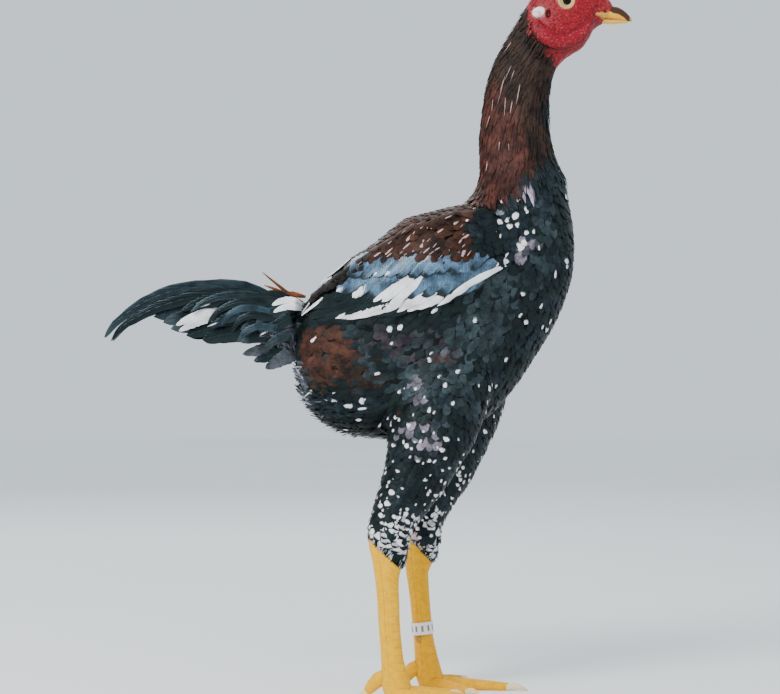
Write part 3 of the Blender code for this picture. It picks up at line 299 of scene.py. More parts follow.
# The smaller feathers over the root of the tail: middle line, half width, distance out, colour and tip.
TAIL_COVERTS = [
    ([(-48, 262), (-57, 260), (-67, 256), (-76, 250)], 4.4, 10, SMOKE, 0),
    ([(-46, 256), (-55, 252), (-64, 248), (-72, 243)], 4.4, 10.8, DUSKY_AND_SHEEN, 0),
    ([(-45, 272), (-53, 275), (-60, 275), (-67, 272)], 3, 12.6, WHITE, 0),
    ([(-45, 269), (-53, 271), (-60, 270), (-66, 267)], 2.6, 13, WHITE, 0),
    ([(-48, 270), (-58, 270), (-68, 266), (-78, 260)], 5, 12, BLUE_BLACK, 0),
    ([(-48, 266), (-57, 262), (-66, 257), (-75, 251)], 5, 12.2, GREEN_BLACK, 0.14),
    ([(-50, 273), (-62, 277), (-75, 278), (-88, 275)], 5.2, 11.6, GREEN_BLACK, 0.1),
    ([(-58, 266), (-76, 268), (-94, 264), (-112, 257)], 5.4, 11.2, BLUE_BLACK, 0.1),
    ([(-60, 272), (-80, 277), (-98, 276), (-120, 270)], 5.4, 9.6, GREEN_BLACK, 0.08),
    ([(-58, 271), (-78, 278), (-96, 279), (-113, 275), (-124, 267)], 3.2, 12, BLUE_BLACK, 0),
    ([(-57, 268), (-73, 273), (-89, 274), (-103, 269), (-112, 259)], 3.2, 12.5, GREEN_BLACK, 0),
    ([(-56, 264), (-71, 268), (-85, 270), (-96, 266), (-103, 257)], 3, 13, SHEEN, 0),
    ([(-55, 259), (-69, 263), (-81, 265), (-90, 261), (-96, 251)], 3, 13.4, GREEN_BLACK, 0),
    ([(-54, 254), (-66, 256), (-77, 257), (-86, 253), (-91, 246)], 3, 13.8, SHEEN, 0),
    ([(-100, 268), (-112, 267), (-124, 263), (-134, 258)], 3.6, 8.6, WHITE, 0),
    ([(-104, 264), (-114, 262), (-124, 258), (-132, 254)], 3.2, 8.9, WHITE, 0),
]

# The stiff ginger saddle feathers that stand up before the tail: middle line, half width, distance out.
STANDING = [
    ([(-48, 272), (-56, 280), (-65, 287.5), (-74.6, 295.4)], 1.9, 5),
    ([(-46, 274), (-57, 279), (-66, 283.5), (-73, 286)], 2.2, 7.5),
    ([(-44, 278), (-54, 280), (-62, 281), (-69, 280)], 2.4, 3),
]

# Where the feathers of the neck end and the bare face starts: z and x down the side of the head.
HACKLE_EDGE = [
    (520, 108), (498, 110), (492, 113.5), (486, 113.2), (472, 113.3), (466, 115.4), (459, 122.5), (453.6, 129),
    (449.4, 131.6), (443.8, 132.6), (438.2, 134), (436, 200), (300, 200),
]

# The thin pale streaks on the neck's feathers: x, z and length.
NECK_STREAKS = [
    (102.5, 480, 7), (104, 470, 9), (97.5, 455, 10), (99, 440, 12), (94, 432, 12), (92.5, 424, 15),
    (102, 434, 11), (105, 424, 15), (95, 416, 13), (86, 416, 9), (99.5, 412, 10), (84, 404, 9), (90, 386, 8),
    (97, 384, 7), (82, 372, 7),
]


# Numbers and curves

def ease(value, low, high):
    """From 0 at low to 1 at high, softly."""
    f = np.clip((value - low) / (high - low), 0, 1)
    return f * f * (3 - 2 * f)


def fade(value, low, high):
    """From 1 at low to 0 at high, softly."""
    return 1 - ease(value, low, high)


def unit(way):
    """The same ways, each one long."""
    return way / np.maximum(np.linalg.norm(way, axis=-1, keepdims=True), 1e-15)


def seen(points):
    """Where points in metres show in the side view: x and z in millimetres."""
    return points[..., 0] / MM, points[..., 2] / MM


def picked(keep, *values):
    """Each of the values, with only the rows to keep."""
    return [value[keep] for value in values]


def alike(value, count):
    """The same value or colour for so many feathers."""
    return np.tile(value, (count, 1)) if np.ndim(value) else np.full(count, value)


def flow(rows, t):
    """The smooth curve through the rows, at t counted in rows."""
    rows = np.asarray(rows, float)
    t = np.clip(np.asarray(t, float), 0, len(rows) - 1)
    i = np.minimum(t.astype(int), len(rows) - 2)
    f = (t - i)[..., None]
    padded = np.vstack([2 * rows[0] - rows[1], rows, 2 * rows[-1] - rows[-2]])
    p0, p1, p2, p3 = (padded[i + k] for k in range(4))
    return 0.5 * (2 * p1 + (p2 - p0) * f + (2 * p0 - 5 * p1 + 4 * p2 - p3) * f ** 2
                  + (3 * p1 - p0 - 3 * p2 + p3) * f ** 3)


def heading(line, t):
    """The way the line takes at t."""
    return unit((flow(line, t + 0.02) - flow(line, t - 0.02))[..., :2])


def halves(row):
    """The middle between the two lines at each row, and half the way across to the first."""
    return (row[..., :2] + row[..., 2:4]) / 2, (row[..., :2] - row[..., 2:4]) / 2


def between_lines(rows, t, a, y=0.0):
    """A point round the body between two lines: a is 0 on the first and pi on the second."""
    row, up = flow(rows, t), np.cos(a)
    middle, half = halves(row)
    lean = row[..., 5] if row.shape[-1] > 5 else 0.0
    across = row[..., 4] * np.sin(a) * (1 + lean * up)
    x, z = np.moveaxis(middle, -1, 0) + np.moveaxis(half, -1, 0) * up
    return np.stack([x, y + across, z], -1) * MM


def line_place(rows, x, z, first, last):
    """The row t of the side-view point x, z, and its place from 1 on the first line to -1 on the second."""
    steps = np.linspace(first, last, 400)
    middle, half = halves(flow(rows, steps))
    away = np.stack(np.broadcast_arrays(x, z), -1)[..., None, :] - middle
    turn = away[..., 0] * half[:, 1] - away[..., 1] * half[:, 0]
    place = (away * half).sum(-1) / (half ** 2).sum(-1)
    meets = turn[..., :-1] * turn[..., 1:] <= 0
    near = np.argmin(np.where(meets, np.abs(place[..., :-1]), 1e6 + np.abs(turn[..., :-1])), axis=-1)[..., None]
    here, there, low, high = (np.take_along_axis(value, near + k, -1)[..., 0]
                              for value in (turn, place) for k in (0, 1))
    share = np.clip(here / np.where(here == there, 1.0, here - there), 0, 1)
    return steps[near[..., 0]] + share * (steps[1] - steps[0]), np.clip(low + (high - low) * share, -1, 1)


def lifted(surface, t, a, lift):
    """The surface, moved out along its normal by lift, in metres."""
    t, a = np.broadcast_arrays(np.asarray(t, float), np.asarray(a, float))
    along = surface(t + STEP, a) - surface(t - STEP, a)
    around = surface(t, a + STEP) - surface(t, a - STEP)
    return surface(t, a) + unit(np.cross(around, along)) * (np.zeros_like(t) + lift)[..., None]


def trunk(t, a):
    """The surface of the whole body, with a broad back and breast behind the neck."""
    point = between_lines(BODY_LINES, t, a)
    broad = BREADTH * np.clip((np.asarray(t, float) - 15.0) / 3.0, 0, 1)
    point[..., 1] *= np.maximum(np.abs(np.sin(a)), 1e-6) ** -broad
    return point


def head_skin(t, a, lift=0.0):
    """The skin of the head, with its brow, eye pit and cheek."""
    x, y, z = np.moveaxis(trunk(t, a), -1, 0) / MM
    rise = np.zeros_like(x)
    for at_x, at_z, reach_x, reach_z, height in HEAD_FORMS:
        rise += height * np.exp(-((x - at_x) / reach_x) ** 2 - ((z - at_z) / reach_z) ** 2)
    return lifted(trunk, t, a, rise * np.clip(np.abs(y) / 12.0, 0, 1) ** 2 * MM + lift)


def head_width(x, z):
    """Half the width of the head at this side-view point, in millimetres."""
    t, place = line_place(BODY_LINES, x, z, 0.0, 12.0)
    return head_skin(t, np.arccos(place))[..., 1] / MM


def beside_body(x, z, lift, side):
    """A point beside the trunk, lifted sideways, that keeps clear of the root of the tail."""
    t, place = line_place(BODY_LINES, x, z, 16.3, RUMP_END)
    at_x, least, rise = WING_TIP_OFF
    out = np.maximum(trunk(t, np.arccos(place))[..., 1] / MM, least + rise * (x - at_x))
    return np.stack(np.broadcast_arrays(x, side * (out + lift), z), -1) * MM


def near_line(x, z, line):
    """The distance in the side view to a line through the given points."""
    line = np.asarray(line, float)
    best = np.full(np.shape(x), 1e9)
    for a, b in zip(line[:-1], line[1:]):
        way = b - a
        f = np.clip(((x - a[0]) * way[0] + (z - a[1]) * way[1]) / (way @ way), 0, 1)
        best = np.minimum(best, np.hypot(x - a[0] - f * way[0], z - a[1] - f * way[1]))
    return best


def grain(points, size, offset=0.0):
    """Soft noise from -1 to 1 at points in metres, its waves about size across, in millimetres."""
    return np.array([noise.noise(Vector(p)) for p in points / (size * MM) + offset])


def pebbles(points, size):
    """The distance to the middle of the nearest of many small cells, each about size across."""
    return np.array([noise.voronoi(Vector(p))[0][0] for p in points / (size * MM)])


# Meshes

def cast(shape, name):
    """The mesh of a bmesh, which is freed."""
    mesh = bpy.data.meshes.new(name)
    shape.to_mesh(mesh)
    shape.free()
    return mesh


def added(name, data):
    """A new object in the scene."""
    piece = bpy.data.objects.new(name, data)
    bpy.context.scene.collection.objects.link(piece)
    return piece


def tube(surface, rings, sides):
    """A closed mesh from surface(u, w): u runs along it and w round it, both from 0 to 1."""
    shape = bmesh.new()
    bmesh.ops.create_grid(shape, x_segments=rings, y_segments=sides, size=0.5)
    place = np.array([v.co for v in shape.verts]) + 0.5
    u, w = np.rint(place[:, 0] * rings) / rings, np.rint(place[:, 1] * sides) % sides / sides
    for vertex, point in zip(shape.verts, surface(u, w)):
        vertex.co = point
    bmesh.ops.remove_doubles(shape, verts=shape.verts, dist=MERGE)
    bmesh.ops.dissolve_degenerate(shape, dist=MERGE, edges=shape.edges)
    bmesh.ops.holes_fill(shape, edges=[e for e in shape.edges if e.is_boundary])
    bmesh.ops.recalc_face_normals(shape, faces=shape.faces)
    return cast(shape, "tube")


def loft(rows, rings, sides):
    """The closed mesh between the two lines of the rows."""
    return tube(lambda u, w: between_lines(rows, u * (len(rows) - 1), w * TURN), rings, sides)


def ellipsoid(centre, size, turn=0.0, rings=32, sides=48, lumps=0.0):
    """A rounded mesh, its long way along x and turned about y, with lumps if wanted."""
    spin = np.array(Matrix.Rotation(math.radians(turn), 3, "Y"))

    def surface(u, w):
        polar, a = u * math.pi, w * TURN
        swell = 1 + lumps * np.cos(6 * a) * np.cos(7 * polar)
        local = np.stack([-np.cos(polar) * size[0], np.sin(polar) * np.sin(a) * size[1] * swell,
                          np.sin(polar) * np.cos(a) * size[2] * swell], -1)
        return (np.array(centre) + local @ spin.T) * MM

    return tube(surface, rings, sides)


def joined(meshes):
    """A bmesh of all the meshes."""
    shape = bmesh.new()
    for mesh in meshes:
        shape.from_mesh(mesh)
    return shape


def melted(meshes, voxel, smoothing):
    """One even skin over all the meshes, with faces about voxel wide, in millimetres."""
    piece = added("melted", cast(joined(meshes), "joined"))
    remesh = piece.modifiers.new("remesh", "REMESH")
    remesh.mode, remesh.voxel_size = "VOXEL", voxel * MM
    piece.modifiers.new("smooth", "SMOOTH").iterations = smoothing
    bpy.context.view_layer.update()
    mesh = bpy.data.meshes.new_from_object(piece.evaluated_get(bpy.context.evaluated_depsgraph_get()))
    bpy.data.objects.remove(piece, do_unlink=True)
    return mesh


def read(rows, name="co"):
    """The mesh's own rows of three numbers as an array."""
    flat = np.zeros(len(rows) * 3)
    rows.foreach_get(name, flat)
    return flat.reshape(-1, 3)


def raised(mesh, points, rise):
    """Moves the points out along their normals by rise, in millimetres."""
    moved(mesh, points + read(mesh.vertex_normals, "vector") * (rise * MM)[:, None])


def moved(mesh, points):
    """Puts the mesh's points at other places."""
    mesh.vertices.foreach_set("co", points.ravel())
    mesh.update()


def paint(mesh, name, values):
    """Keeps a number or a colour with its fourth value for each point of the mesh."""
    kind, key = ("FLOAT", "value") if values.ndim == 1 else ("FLOAT_COLOR", "color")
    mesh.attributes.new(name, kind, "POINT").data.foreach_set(key, np.asarray(values, float).ravel())


def show(name, mesh, finishes, slot, nodes=(), sharp=40):
    """Puts a finished mesh in the scene, in place of the solids that it stands for."""
    piece = added(name, mesh)
    mesh.materials.clear()
    for finish in finishes:
        mesh.materials.append(finish)
    mesh.shade_smooth()
    if sharp:
        mesh.set_sharp_from_angle(angle=math.radians(sharp))
    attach(piece, "root")
    if nodes:
        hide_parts(*nodes)


# The skin

def coat_depth(t):
    """How far the skin lies below the solids at this row, in metres."""
    return (3.0 * ease(t, 8.6, 10.2) - 0.6 * ease(t, 14.0, 17.0)) * MM


def wing_surface(t, q, side, lower=1.5):
    """The outer face of the folded wing, t along it and q from its upper to its lower edge."""
    row = flow(WING_LINES, t)
    x, z = (row[..., k] + (row[..., k + 2] - row[..., k]) * q for k in (0, 1))
    bulge = np.maximum(row[..., 4] - lower, 0.0) * np.sin(math.pi * (0.06 + 0.88 * q)) ** 0.7
    return beside_body(x, z, bulge, side)


def wing_core(side):
    """The wing under its feathers: its outer face, and an inner one inside the body."""
    def surface(u, w):
        t, q = u * (len(WING_LINES) - 1), 1 - np.abs(2 * w - 1)
        inner = wing_surface(t, q, side, 99.0)
        inner[..., 1] -= side * 3.0 * MM
        return np.where(((w <= 0.5) | (q < 0.01))[..., None], wing_surface(t, q, side), inner)

    return tube(surface, 44, 40)


def thigh_surface(name, lower=1.6):
    """The thigh with its feathers' depth taken off."""
    plain = lambda t, a: between_lines(THIGH_LINES[name], t, a, SIDES[name] * LEG_SPREAD)
    return lambda t, a: lifted(plain, t, a, -lower * MM)


def body_skin():
    """The feathered skin: neck, trunk, folded wings, thighs and the root of the tail."""
    first, rows = BODY_SKIN
    under = lambda u, w: lifted(trunk, first + rows * u, w * TURN, -coat_depth(first + rows * u))
    parts = [tube(under, 120, 96)]
    for name, side in SIDES.items():
        surface = thigh_surface(name)
        parts += [wing_core(side), tube(lambda u, w: surface(0.05 + 8.9 * u, w * TURN), 60, 48)]
    root = TAIL_ROOT + (0.0, -2.5, 0.0, 2.5, 0.0)
    root[:, 4] = np.maximum(root[:, 4] - 2.0, 0.8)
    return melted(parts + [loft(root, 30, 32)], 2.0, 3)


def lid(side):
    """The raised ring of the lids round the eye."""
    def surface(u, w):
        a, b = u * TURN, w * TURN
        reach = LID_RADIUS + LID_ROUND * np.cos(b)
        x, z = EYE[0] + reach * np.cos(a) * 1.05, EYE[1] + reach * np.sin(a) * 0.95
        return np.stack([x, side * (head_width(x, z) + 0.25 + 0.85 * np.sin(b)), z], -1) * MM

    return tube(surface, 72, 14)


def jaw_fold(side):
    """The fold of bare skin from below the ear lobe along the jaw."""
    def surface(u, w):
        t = u * (len(JAW_FOLD) - 1)
        x, z, half, deep = np.moveaxis(flow(JAW_FOLD, t), -1, 0)
        ahead = heading(JAW_FOLD, t)
        out, up = deep * np.cos(w * TURN), half * np.sin(w * TURN)
        y = side * (head_width(x, z) + 0.3 + out)
        return np.stack([x - ahead[..., 1] * up, y, z + ahead[..., 0] * up], -1) * MM

    return tube(surface, 90, 40)


def face_skin():
    """The bare head with its comb, lids and jaw folds, its small grains of skin raised."""
    bare = lambda u, w: head_skin(FACE_END * u, w * TURN, -1.25 * coat_depth(FACE_END * u))
    parts = [tube(bare, 150, 110),
             ellipsoid((COMB_CENTRE[0], 0.0, COMB_CENTRE[1]), COMB_SIZE, COMB_TILT, lumps=0.11)]
    mesh = melted(parts + [part(side) for side in SIDES.values() for part in (lid, jaw_fold)], 0.55, 4)
    points = read(mesh.vertices)
    x, z = seen(points)
    fold = JAW_FOLD[:, :2]
    cells, fine = pebbles(points, 1.35), pebbles(points, 0.62)
    eye_off = np.hypot(x - EYE[0], z - EYE[1])
    rough = ease(eye_off, 5.6, 8.5) * ease(near_line(x, z, fold[2:9]), 1.0, 5.0)
    rough = rough * (1 - 0.8 * ease(x, 160.0, 168.0))
    comb = ease(z + 0.25 * (x - 150.0), 493.0, 498.0) * ease(x, 140.0, 146.0)
    rise = (0.55 - cells) * 0.42 * np.clip(rough * 0.8 + comb, 0, 1) + (0.5 - fine) * 0.12 * (0.3 + rough)
    rise += 0.35 * grain(points * (1.0, 1.0, 0.5), 6.0) * rough + 0.7 * comb * grain(points, 3.2, 5.0)
    ear, nostril = (np.hypot((x - at[0]) / wide, (z - at[1]) / high)
                    for at, wide, high in ((EAR_HOLE, 2.0, 3.2), (NOSTRIL, 1.9, 0.8)))
    rise -= 2.2 * fade(ear, 0.35, 1.1)
    rise -= fade(nostril, 0.3, 1.1) * ease(np.abs(points[:, 1]) / MM, 3.0, 5.0)
    mouth = near_line(x, z, MOUTH_LINE)
    rise -= 0.6 * fade(mouth, 0.2, 0.9)
    raised(mesh, points, rise)
    gape = fade(near_line(x, z, GAPE_LINE) / (1.0 + 2.4 * ease(x, 158.0, 169.0)), 0.6, 1.5)
    # The crease value marks painted shade: the finish darkens the hollows between the grains, and the ear hole,
    # the nostril and the mouth slit are added to it below.
    crease = np.clip(1.5 * cells - 0.35, 0, 1) * (0.25 + 0.75 * rough) * (1 - 0.9 * gape)
    for deep in (fade(ear, 0.4, 1.15), fade(nostril, 0.4, 1.2), 0.7 * fade(mouth, 0.1, 0.45)):
        crease = np.maximum(crease, deep)
    paint(mesh, "crease", crease)
    ahead = unit(np.gradient(fold, axis=0))
    border = fold + np.column_stack([ahead[:, 1], -ahead[:, 0]]) * JAW_FOLD[:, 2:3]
    tint = alike(RED, len(x))
    for share, colour in (
            (fade(near_line(x, z, fold[1:9]), 2.0, 7.0), DEEP_RED),
            (0.5 * ease(x, 156.0, 170.0), PALE_RED),
            (0.85 * fade(np.hypot((x - LOBE[0]) / 6.0, (z - LOBE[1]) / 5.0), 0.7, 1.2), LOBE_PINK),
            (fade(eye_off, 5.3, 6.2), EYE_RING),
            (0.9 * gape, GAPE),
            # Painted shade: near black in the ear hole and the nostril.
            (np.maximum(fade(ear, 0.5, 1.2), fade(nostril, 0.4, 1.1)), PIT_SHADE),
            # Painted shadow: a dark red line along the jaw fold's lower edge.
            (0.55 * fade(near_line(x, z, border[2:8]), 0.2, 1.6) * fade(x, 138.0, 150.0), FOLD_SHADOW_RED)):
        tint += (np.array(colour) - tint) * share[:, None]
    paint(mesh, "tint", np.column_stack([tint, np.ones(len(x))]))
    return mesh


def make_skin(face_finish, body_finish):
    """The whole skin as one piece. Under the feathers it takes the same markings as they do, darker as painted
    shade between them.
    """
    body, face = body_skin(), face_skin()
    x, z = seen(read(body.vertices))
    tint = plumage(x, z, spots=False)[0]
    # Painted shade: the skin between the feathers takes their colours at 0.6 of their brightness.
    paint(body, "tint", np.column_stack([tint * 0.6, np.ones(len(x))]))
    paint(body, "crease", np.full(len(x), 0.5))
    split = len(body.polygons)
    shape = joined([body, face])
    tree = BVHTree.FromBMesh(shape)
    both = cast(shape, "joined")
    pairs = [f"{part}_{name}" for part in ("wattle", "thigh", "wing") for name in SIDES]
    nodes = ["head", "comb", "neck", "torso", "tail", *pairs]
    show("skin", both, [body_finish, face_finish], "bare_skin", nodes, sharp=0)
    both.polygons.foreach_set("material_index", (np.arange(len(both.polygons)) >= split).astype(np.int32))
    return tree


# The plumage's markings

def plumage(x, z, spots=True):
    """Each feather's colour, with painted sheen in blue-black clouds and bluish patches, its tip's colour, the
    share of it that the tip takes and its class.

    The class is 0 on the black feathers and 1 on the chestnut ones.
    """
    count = len(x)
    cloud = lambda y, size: grain(np.column_stack([x, np.full(count, y), z]) * MM, size)
    tint, size, kind = alike(GREEN_BLACK, count), np.zeros(count), np.zeros(count)
    # Painted sheen: soft clouds of blue-black stand in for the blue gloss of the dark feathers.
    tint += (np.array(BLUE_BLACK) - tint) * ease(cloud(0.0, 16.0), -0.05, 0.35)[:, None]
    clouded = np.clip(0.5 + 1.3 * cloud(40.0, 9.0), 0, 1)
    chance = 0.5 * draw.random((count, len(PATCHES))) + 0.5 * clouded[:, None]
    for k, (at_x, at_z, reach_x, reach_z, turn, colour, share, chestnut) in enumerate(PATCHES):
        c, s = math.cos(math.radians(turn)), math.sin(math.radians(turn))
        along, up = (x - at_x) * c + (z - at_z) * s, (z - at_z) * c - (x - at_x) * s
        inside = fade(np.hypot(along / reach_x, up / reach_z), 0.7, 1.25)
        amount = ease(share * inside - 0.7 * (chance[:, k] if spots else 0.5), 0.0, 0.3)
        tint += (np.array(colour) - tint) * amount[:, None]
        kind[amount > 0.3] = chestnut
    if spots:
        tint *= draw.uniform(0.72, 1.25, (count, 1))
        odds = np.full(count, SPECKLED)
        for at_x, at_z, reach, density in SPOTTED:
            odds = np.maximum(odds, density * np.exp(-((x - at_x) ** 2 + (z - at_z) ** 2) / reach ** 2))
        spotted = draw.random(count) < odds
        size[spotted] = draw.uniform(0.14, 0.34, spotted.sum())
    return np.clip(tint, 0.0, 1.0), alike(WHITE, count), size, kind


def spangle(root, way, length, size):
    """Gives the feather whose tip lies nearest to each spangle, on both sides, that white tip."""
    tips = root / MM + way * length[:, None] * 0.85
    for side in SIDES.values():
        for x, z, share in SPANGLES:
            off = np.hypot(tips[:, 0] - x, tips[:, 2] - z) + np.where(tips[:, 1] * side > 6.0, 0.0, 1e3)
            if off.min() < 5.0:
                size[np.argmin(off)] = share


# Feathers

def half_widths(u, pointed):
    """How wide a feather is along its length, at most 1: rounded at 0 and narrowed at 1."""
    taper = np.sqrt(np.clip(1 - u ** (6 - 4.6 * pointed), 0, 1)) * (1 - 0.45 * pointed * u)
    return np.maximum(taper * np.minimum(1, 0.4 + 2.2 * u), 0.035)


def vanes(name, base, normal, across, along, thick, marks, place, kind):
    """Many feathers as one piece, each a closed lens round its points, thick mm at its root.

    base and normal are arrays of feather, ring, column and coordinate, across is each column's place
    from -1 to 1 and along each ring's place from 0 to 1. marks holds each feather's colour, its tip's
    colour and the tip's share, and place where its root lies on the skin's unwrap.
    """
    count, rings = base.shape[:2]
    swell = normal * (0.5 * (thick * MM * (1 - 0.6 * along)[:, None]) * (1 - across ** 2))[..., None]
    points = np.concatenate([base + swell, (base - swell)[:, :, -2:0:-1]], 2)
    edge = np.concatenate([across, across[-2:0:-1]])
    corners = len(edge)
    index = np.arange(count * rings * corners).reshape(count, rings, corners)
    beside = np.roll(index, -1, 2)
    quads = np.stack([index[:, :-1], index[:, 1:], beside[:, 1:], beside[:, :-1]], -1).ravel()
    loops = np.concatenate([quads, index[:, 0].ravel(), index[:, -1, ::-1].ravel()]).astype(np.int32)
    sizes = np.concatenate([np.full(len(quads) // 4, 4), np.full(2 * count, corners)])
    mesh = bpy.data.meshes.new(name)
    mesh.vertices.add(index.size)
    mesh.vertices.foreach_set("co", points.ravel())
    mesh.loops.add(len(loops))
    mesh.loops.foreach_set("vertex_index", loops)
    mesh.polygons.add(len(sizes))
    mesh.polygons.foreach_set("loop_start", (np.cumsum(sizes) - sizes).astype(np.int32))
    mesh.update(calc_edges=True)
    local = np.stack(np.broadcast_arrays(edge * 0.5 + 0.5, along[:, None]), -1)
    local = np.broadcast_to(local, (count, rings, corners, 2)).reshape(-1, 2)
    each = rings * corners
    for layer, values in (("vane", local), ("OFBake", np.repeat(place, each, 0) + (local - 0.5) * ISLAND)):
        mesh.uv_layers.new(name=layer).data.foreach_set("uv", values[loops].ravel())
    tint, tip, size = marks
    for layer, values in (("tint", np.column_stack([tint, np.ones(count)])),
                          ("tip", np.column_stack([tip, size])), ("seed", draw.random(count))):
        paint(mesh, layer, np.repeat(values, each, 0))
    show(name, mesh, [plumes[kind]], "plumage_chestnut" if kind == "chestnut" else "plumage_dark", sharp=50)


def pressed(flat):
    """Flat feathers pressed to the skin: the nearest points of it and its normals there."""
    found = np.array([skin.find_nearest(Vector(point))[:2] for point in flat.reshape(-1, 3)])
    return found[:, 0].reshape(flat.shape), found[:, 1].reshape(flat.shape)


def laid(root, way, length, half, lift, pointed, rings=6, sunk=0.5, twist=0.12, ruffle=0.06):
    """Feathers laid on the skin from root along way, lifted towards their tips. Lengths are in mm.

    Gives the points, the normals and each point's place across and along its feather.
    """
    count = len(root)
    length = length * draw.uniform(0.88, 1.12, count)
    half = half * draw.uniform(0.9, 1.1, count)
    _, normal = pressed(root)
    way = unit(way - normal * (way * normal).sum(-1, keepdims=True))
    side = np.cross(normal, way)
    turn = draw.normal(0, twist, count)[:, None]
    way, side = way * np.cos(turn) + side * np.sin(turn), side * np.cos(turn) - way * np.sin(turn)
    u = np.linspace(0, 1, rings) ** (0.62 if pointed < 0.5 else 0.85)
    v = np.linspace(-1, 1, 3)
    wide = half[:, None] * half_widths(u, pointed)[None] * draw.uniform(0.86, 1.1, (count, rings))
    flat = root[:, None, None] + (way[:, None, None] * (length[:, None] * u)[:, :, None, None]
                                  + side[:, None, None] * (wide[:, :, None] * v)[..., None]) * MM
    base, normals = pressed(flat)
    high = -sunk + (lift * draw.uniform(0.8, 1.25, count) + sunk)[:, None] * u ** 1.15
    tilt = (draw.uniform(-1, 1, count) * ruffle * half)[:, None, None]
    high = high[:, :, None] - 0.08 * v ** 2 * half[:, None, None] + tilt * v
    return base + normals * (high * MM)[..., None], normals, v, u


def meridians(surface, first, last, columns, pitch, gap, middle):
    """Staggered roots in columns along a surface: the points, the ways, the rows and the angles."""
    ring, t = np.linspace(0, TURN, 361), np.linspace(first, last, 240)
    girth = surface(np.full(361, first + (last - first) * middle), ring)
    steps = np.linalg.norm(np.diff(girth, axis=0), axis=1)
    run = np.concatenate([[0.0], np.cumsum(steps)]) / steps.sum()
    angles = np.interp((np.arange(columns) + 0.5) / columns, run, ring)
    grid = surface(t[:, None], angles[None, :])
    speed = np.linalg.norm(np.gradient(grid, axis=0), axis=-1) / MM
    gaps = np.linalg.norm(np.roll(grid, -1, 1) - grid, axis=-1) / MM
    forward = 1 if first < last else -1
    rows, turns = [], []
    for j in range(columns):
        length = np.concatenate([[0.0], np.cumsum(speed[1:, j])])
        places = np.arange(0.5 * (j % 2) * pitch, length[-1], pitch)
        row = np.interp(places + draw.uniform(-0.16, 0.16, len(places)) * pitch, length, t)
        keep = draw.random(len(row)) < np.interp(forward * row, forward * t, gaps[:, j]) / gap + 0.15
        rows.append(row[keep])
        turns.append(np.full(keep.sum(), angles[j]))
    rows, turns = np.concatenate(rows), np.concatenate(turns)
    turns = turns + draw.uniform(-0.2, 0.2, len(turns)) * TURN / columns
    way = surface(rows + 0.02 * forward, turns) - surface(rows - 0.02 * forward, turns)
    return surface(rows, turns), unit(way), rows, turns


def near_skin(root, tract):
    """Which roots lie close enough to the skin for the feathers of this tract."""
    return np.array([skin.find_nearest(Vector(p))[3] for p in root]) / MM < REACH[tract]


def coat(name, root, way, shape, marks, place):
    """Lays one tract of feathers, parted into its black and its chestnut ones."""
    *marks, kind = marks
    for k, colour in enumerate(("dark", "chestnut")):
        chosen = np.flatnonzero(kind == k)
        parts = math.ceil(len(chosen) / MOST)
        for part in range(parts):
            own = chosen[part::parts]
            sizes = {key: value[own] if np.ndim(value) else value for key, value in shape.items()}
            vanes(f"{name}_{colour}_{part + 1}", *laid(root[own], way[own], **sizes),
                  min(0.3, 0.12 * np.mean(shape["half"])), picked(own, *marks), place[own], colour)


def under_wing(x, z):
    """Whether a place in the side view is covered by the folded wing."""
    t, place = line_place(WING_LINES, x, z, 0.0, len(WING_LINES) - 1.0)
    middle, half = halves(flow(WING_LINES, t))
    there = middle + half * place[..., None]
    close = np.hypot(there[..., 0] - x, there[..., 1] - z) < 1.0
    return close & (t > 0.5) & (t < 8.3) & (np.abs(place) < 1 - 5.0 / np.linalg.norm(half, axis=-1))


def make_body_feathers():
    """Short rounded feathers over the trunk, from the foot of the neck to the vent."""
    root, way, t, a = meridians(trunk, *TRACTS["body_coat"])
    cape_end = 16.6 - 2.6 * (1 - np.cos(a)) / 2
    keep = near_skin(root, "body_coat") & ~under_wing(*seen(root)) & (t > cape_end - 1.2)
    root, way, t, a = picked(keep, root, way, t, a)
    under = ease(t, 24.0, 27.0) * ease(a * (TURN - a), 7.0, 9.0)
    length = draw.uniform(11.0, 16.0, len(t)) - 2.5 * ease(t, 26.0, 29.0)
    shape = dict(length=length, half=draw.uniform(3.0, 4.4, len(t)) - 1.0 * under, lift=1.0 + 2.0 * under,
                 pointed=0.22, twist=0.2, ruffle=0.03)
    marks = plumage(*seen(root))
    spangle(root, way, length, marks[2])
    coat("body_coat", root, way, shape, marks, np.column_stack([a / TURN, (t - 14.0) / 16.0]))


def make_hackles():
    """Narrow hackle feathers down the neck, longest over the shoulders, with a few pale streaks."""
    root, way, t, a = meridians(trunk, *TRACTS["hackle"])
    x, z = seen(root)
    edge_z, edge_x = np.array(HACKLE_EDGE)[::-1].T
    keep = (x <= np.interp(z, edge_z, edge_x) - 0.6) & (t < 15.8 - 2.8 * (1 - np.cos(a)) / 2)
    root, way, t, a, x, z = picked(keep, root, way, t, a, x, z)
    grown = ease(t, 8.0, 13.0)
    length, lift = 9.0 + 25.0 * grown, 1.3 + 0.8 * grown
    own = dict(length=length, half=1.35 + 1.45 * grown, lift=lift, pointed=0.8, sunk=0.4, ruffle=0.03)
    narrow = dict(rings=8, twist=0.05)
    tint, tip, _, kind = plumage(x, z - 0.35 * length)
    place = np.column_stack([a / TURN, (t - 7.0) / 9.0])
    coat("hackle", root, way, {**own, **narrow}, (tint, tip, np.zeros(len(t)), kind), place)
    near = [np.argmin(np.hypot(x - at_x, z - at_z) + np.where(root[:, 1] * side > 0, 0.0, 1e3))
            for side in SIDES.values() for at_x, at_z, _ in NECK_STREAKS]
    count = len(near)
    own = dict(length=np.tile([row[2] for row in NECK_STREAKS], 2), half=np.full(count, 0.4),
               lift=lift[near] + 1.3, pointed=0.9, sunk=-1.6, ruffle=0.0)
    marks = (np.array(PINK_WHITE) * draw.uniform(0.4, 0.9, (count, 1)), alike(WHITE, count),
             np.zeros(count), np.ones(count))
    coat("neck_streak", root[near], way[near], {**own, **narrow}, marks, place[near])


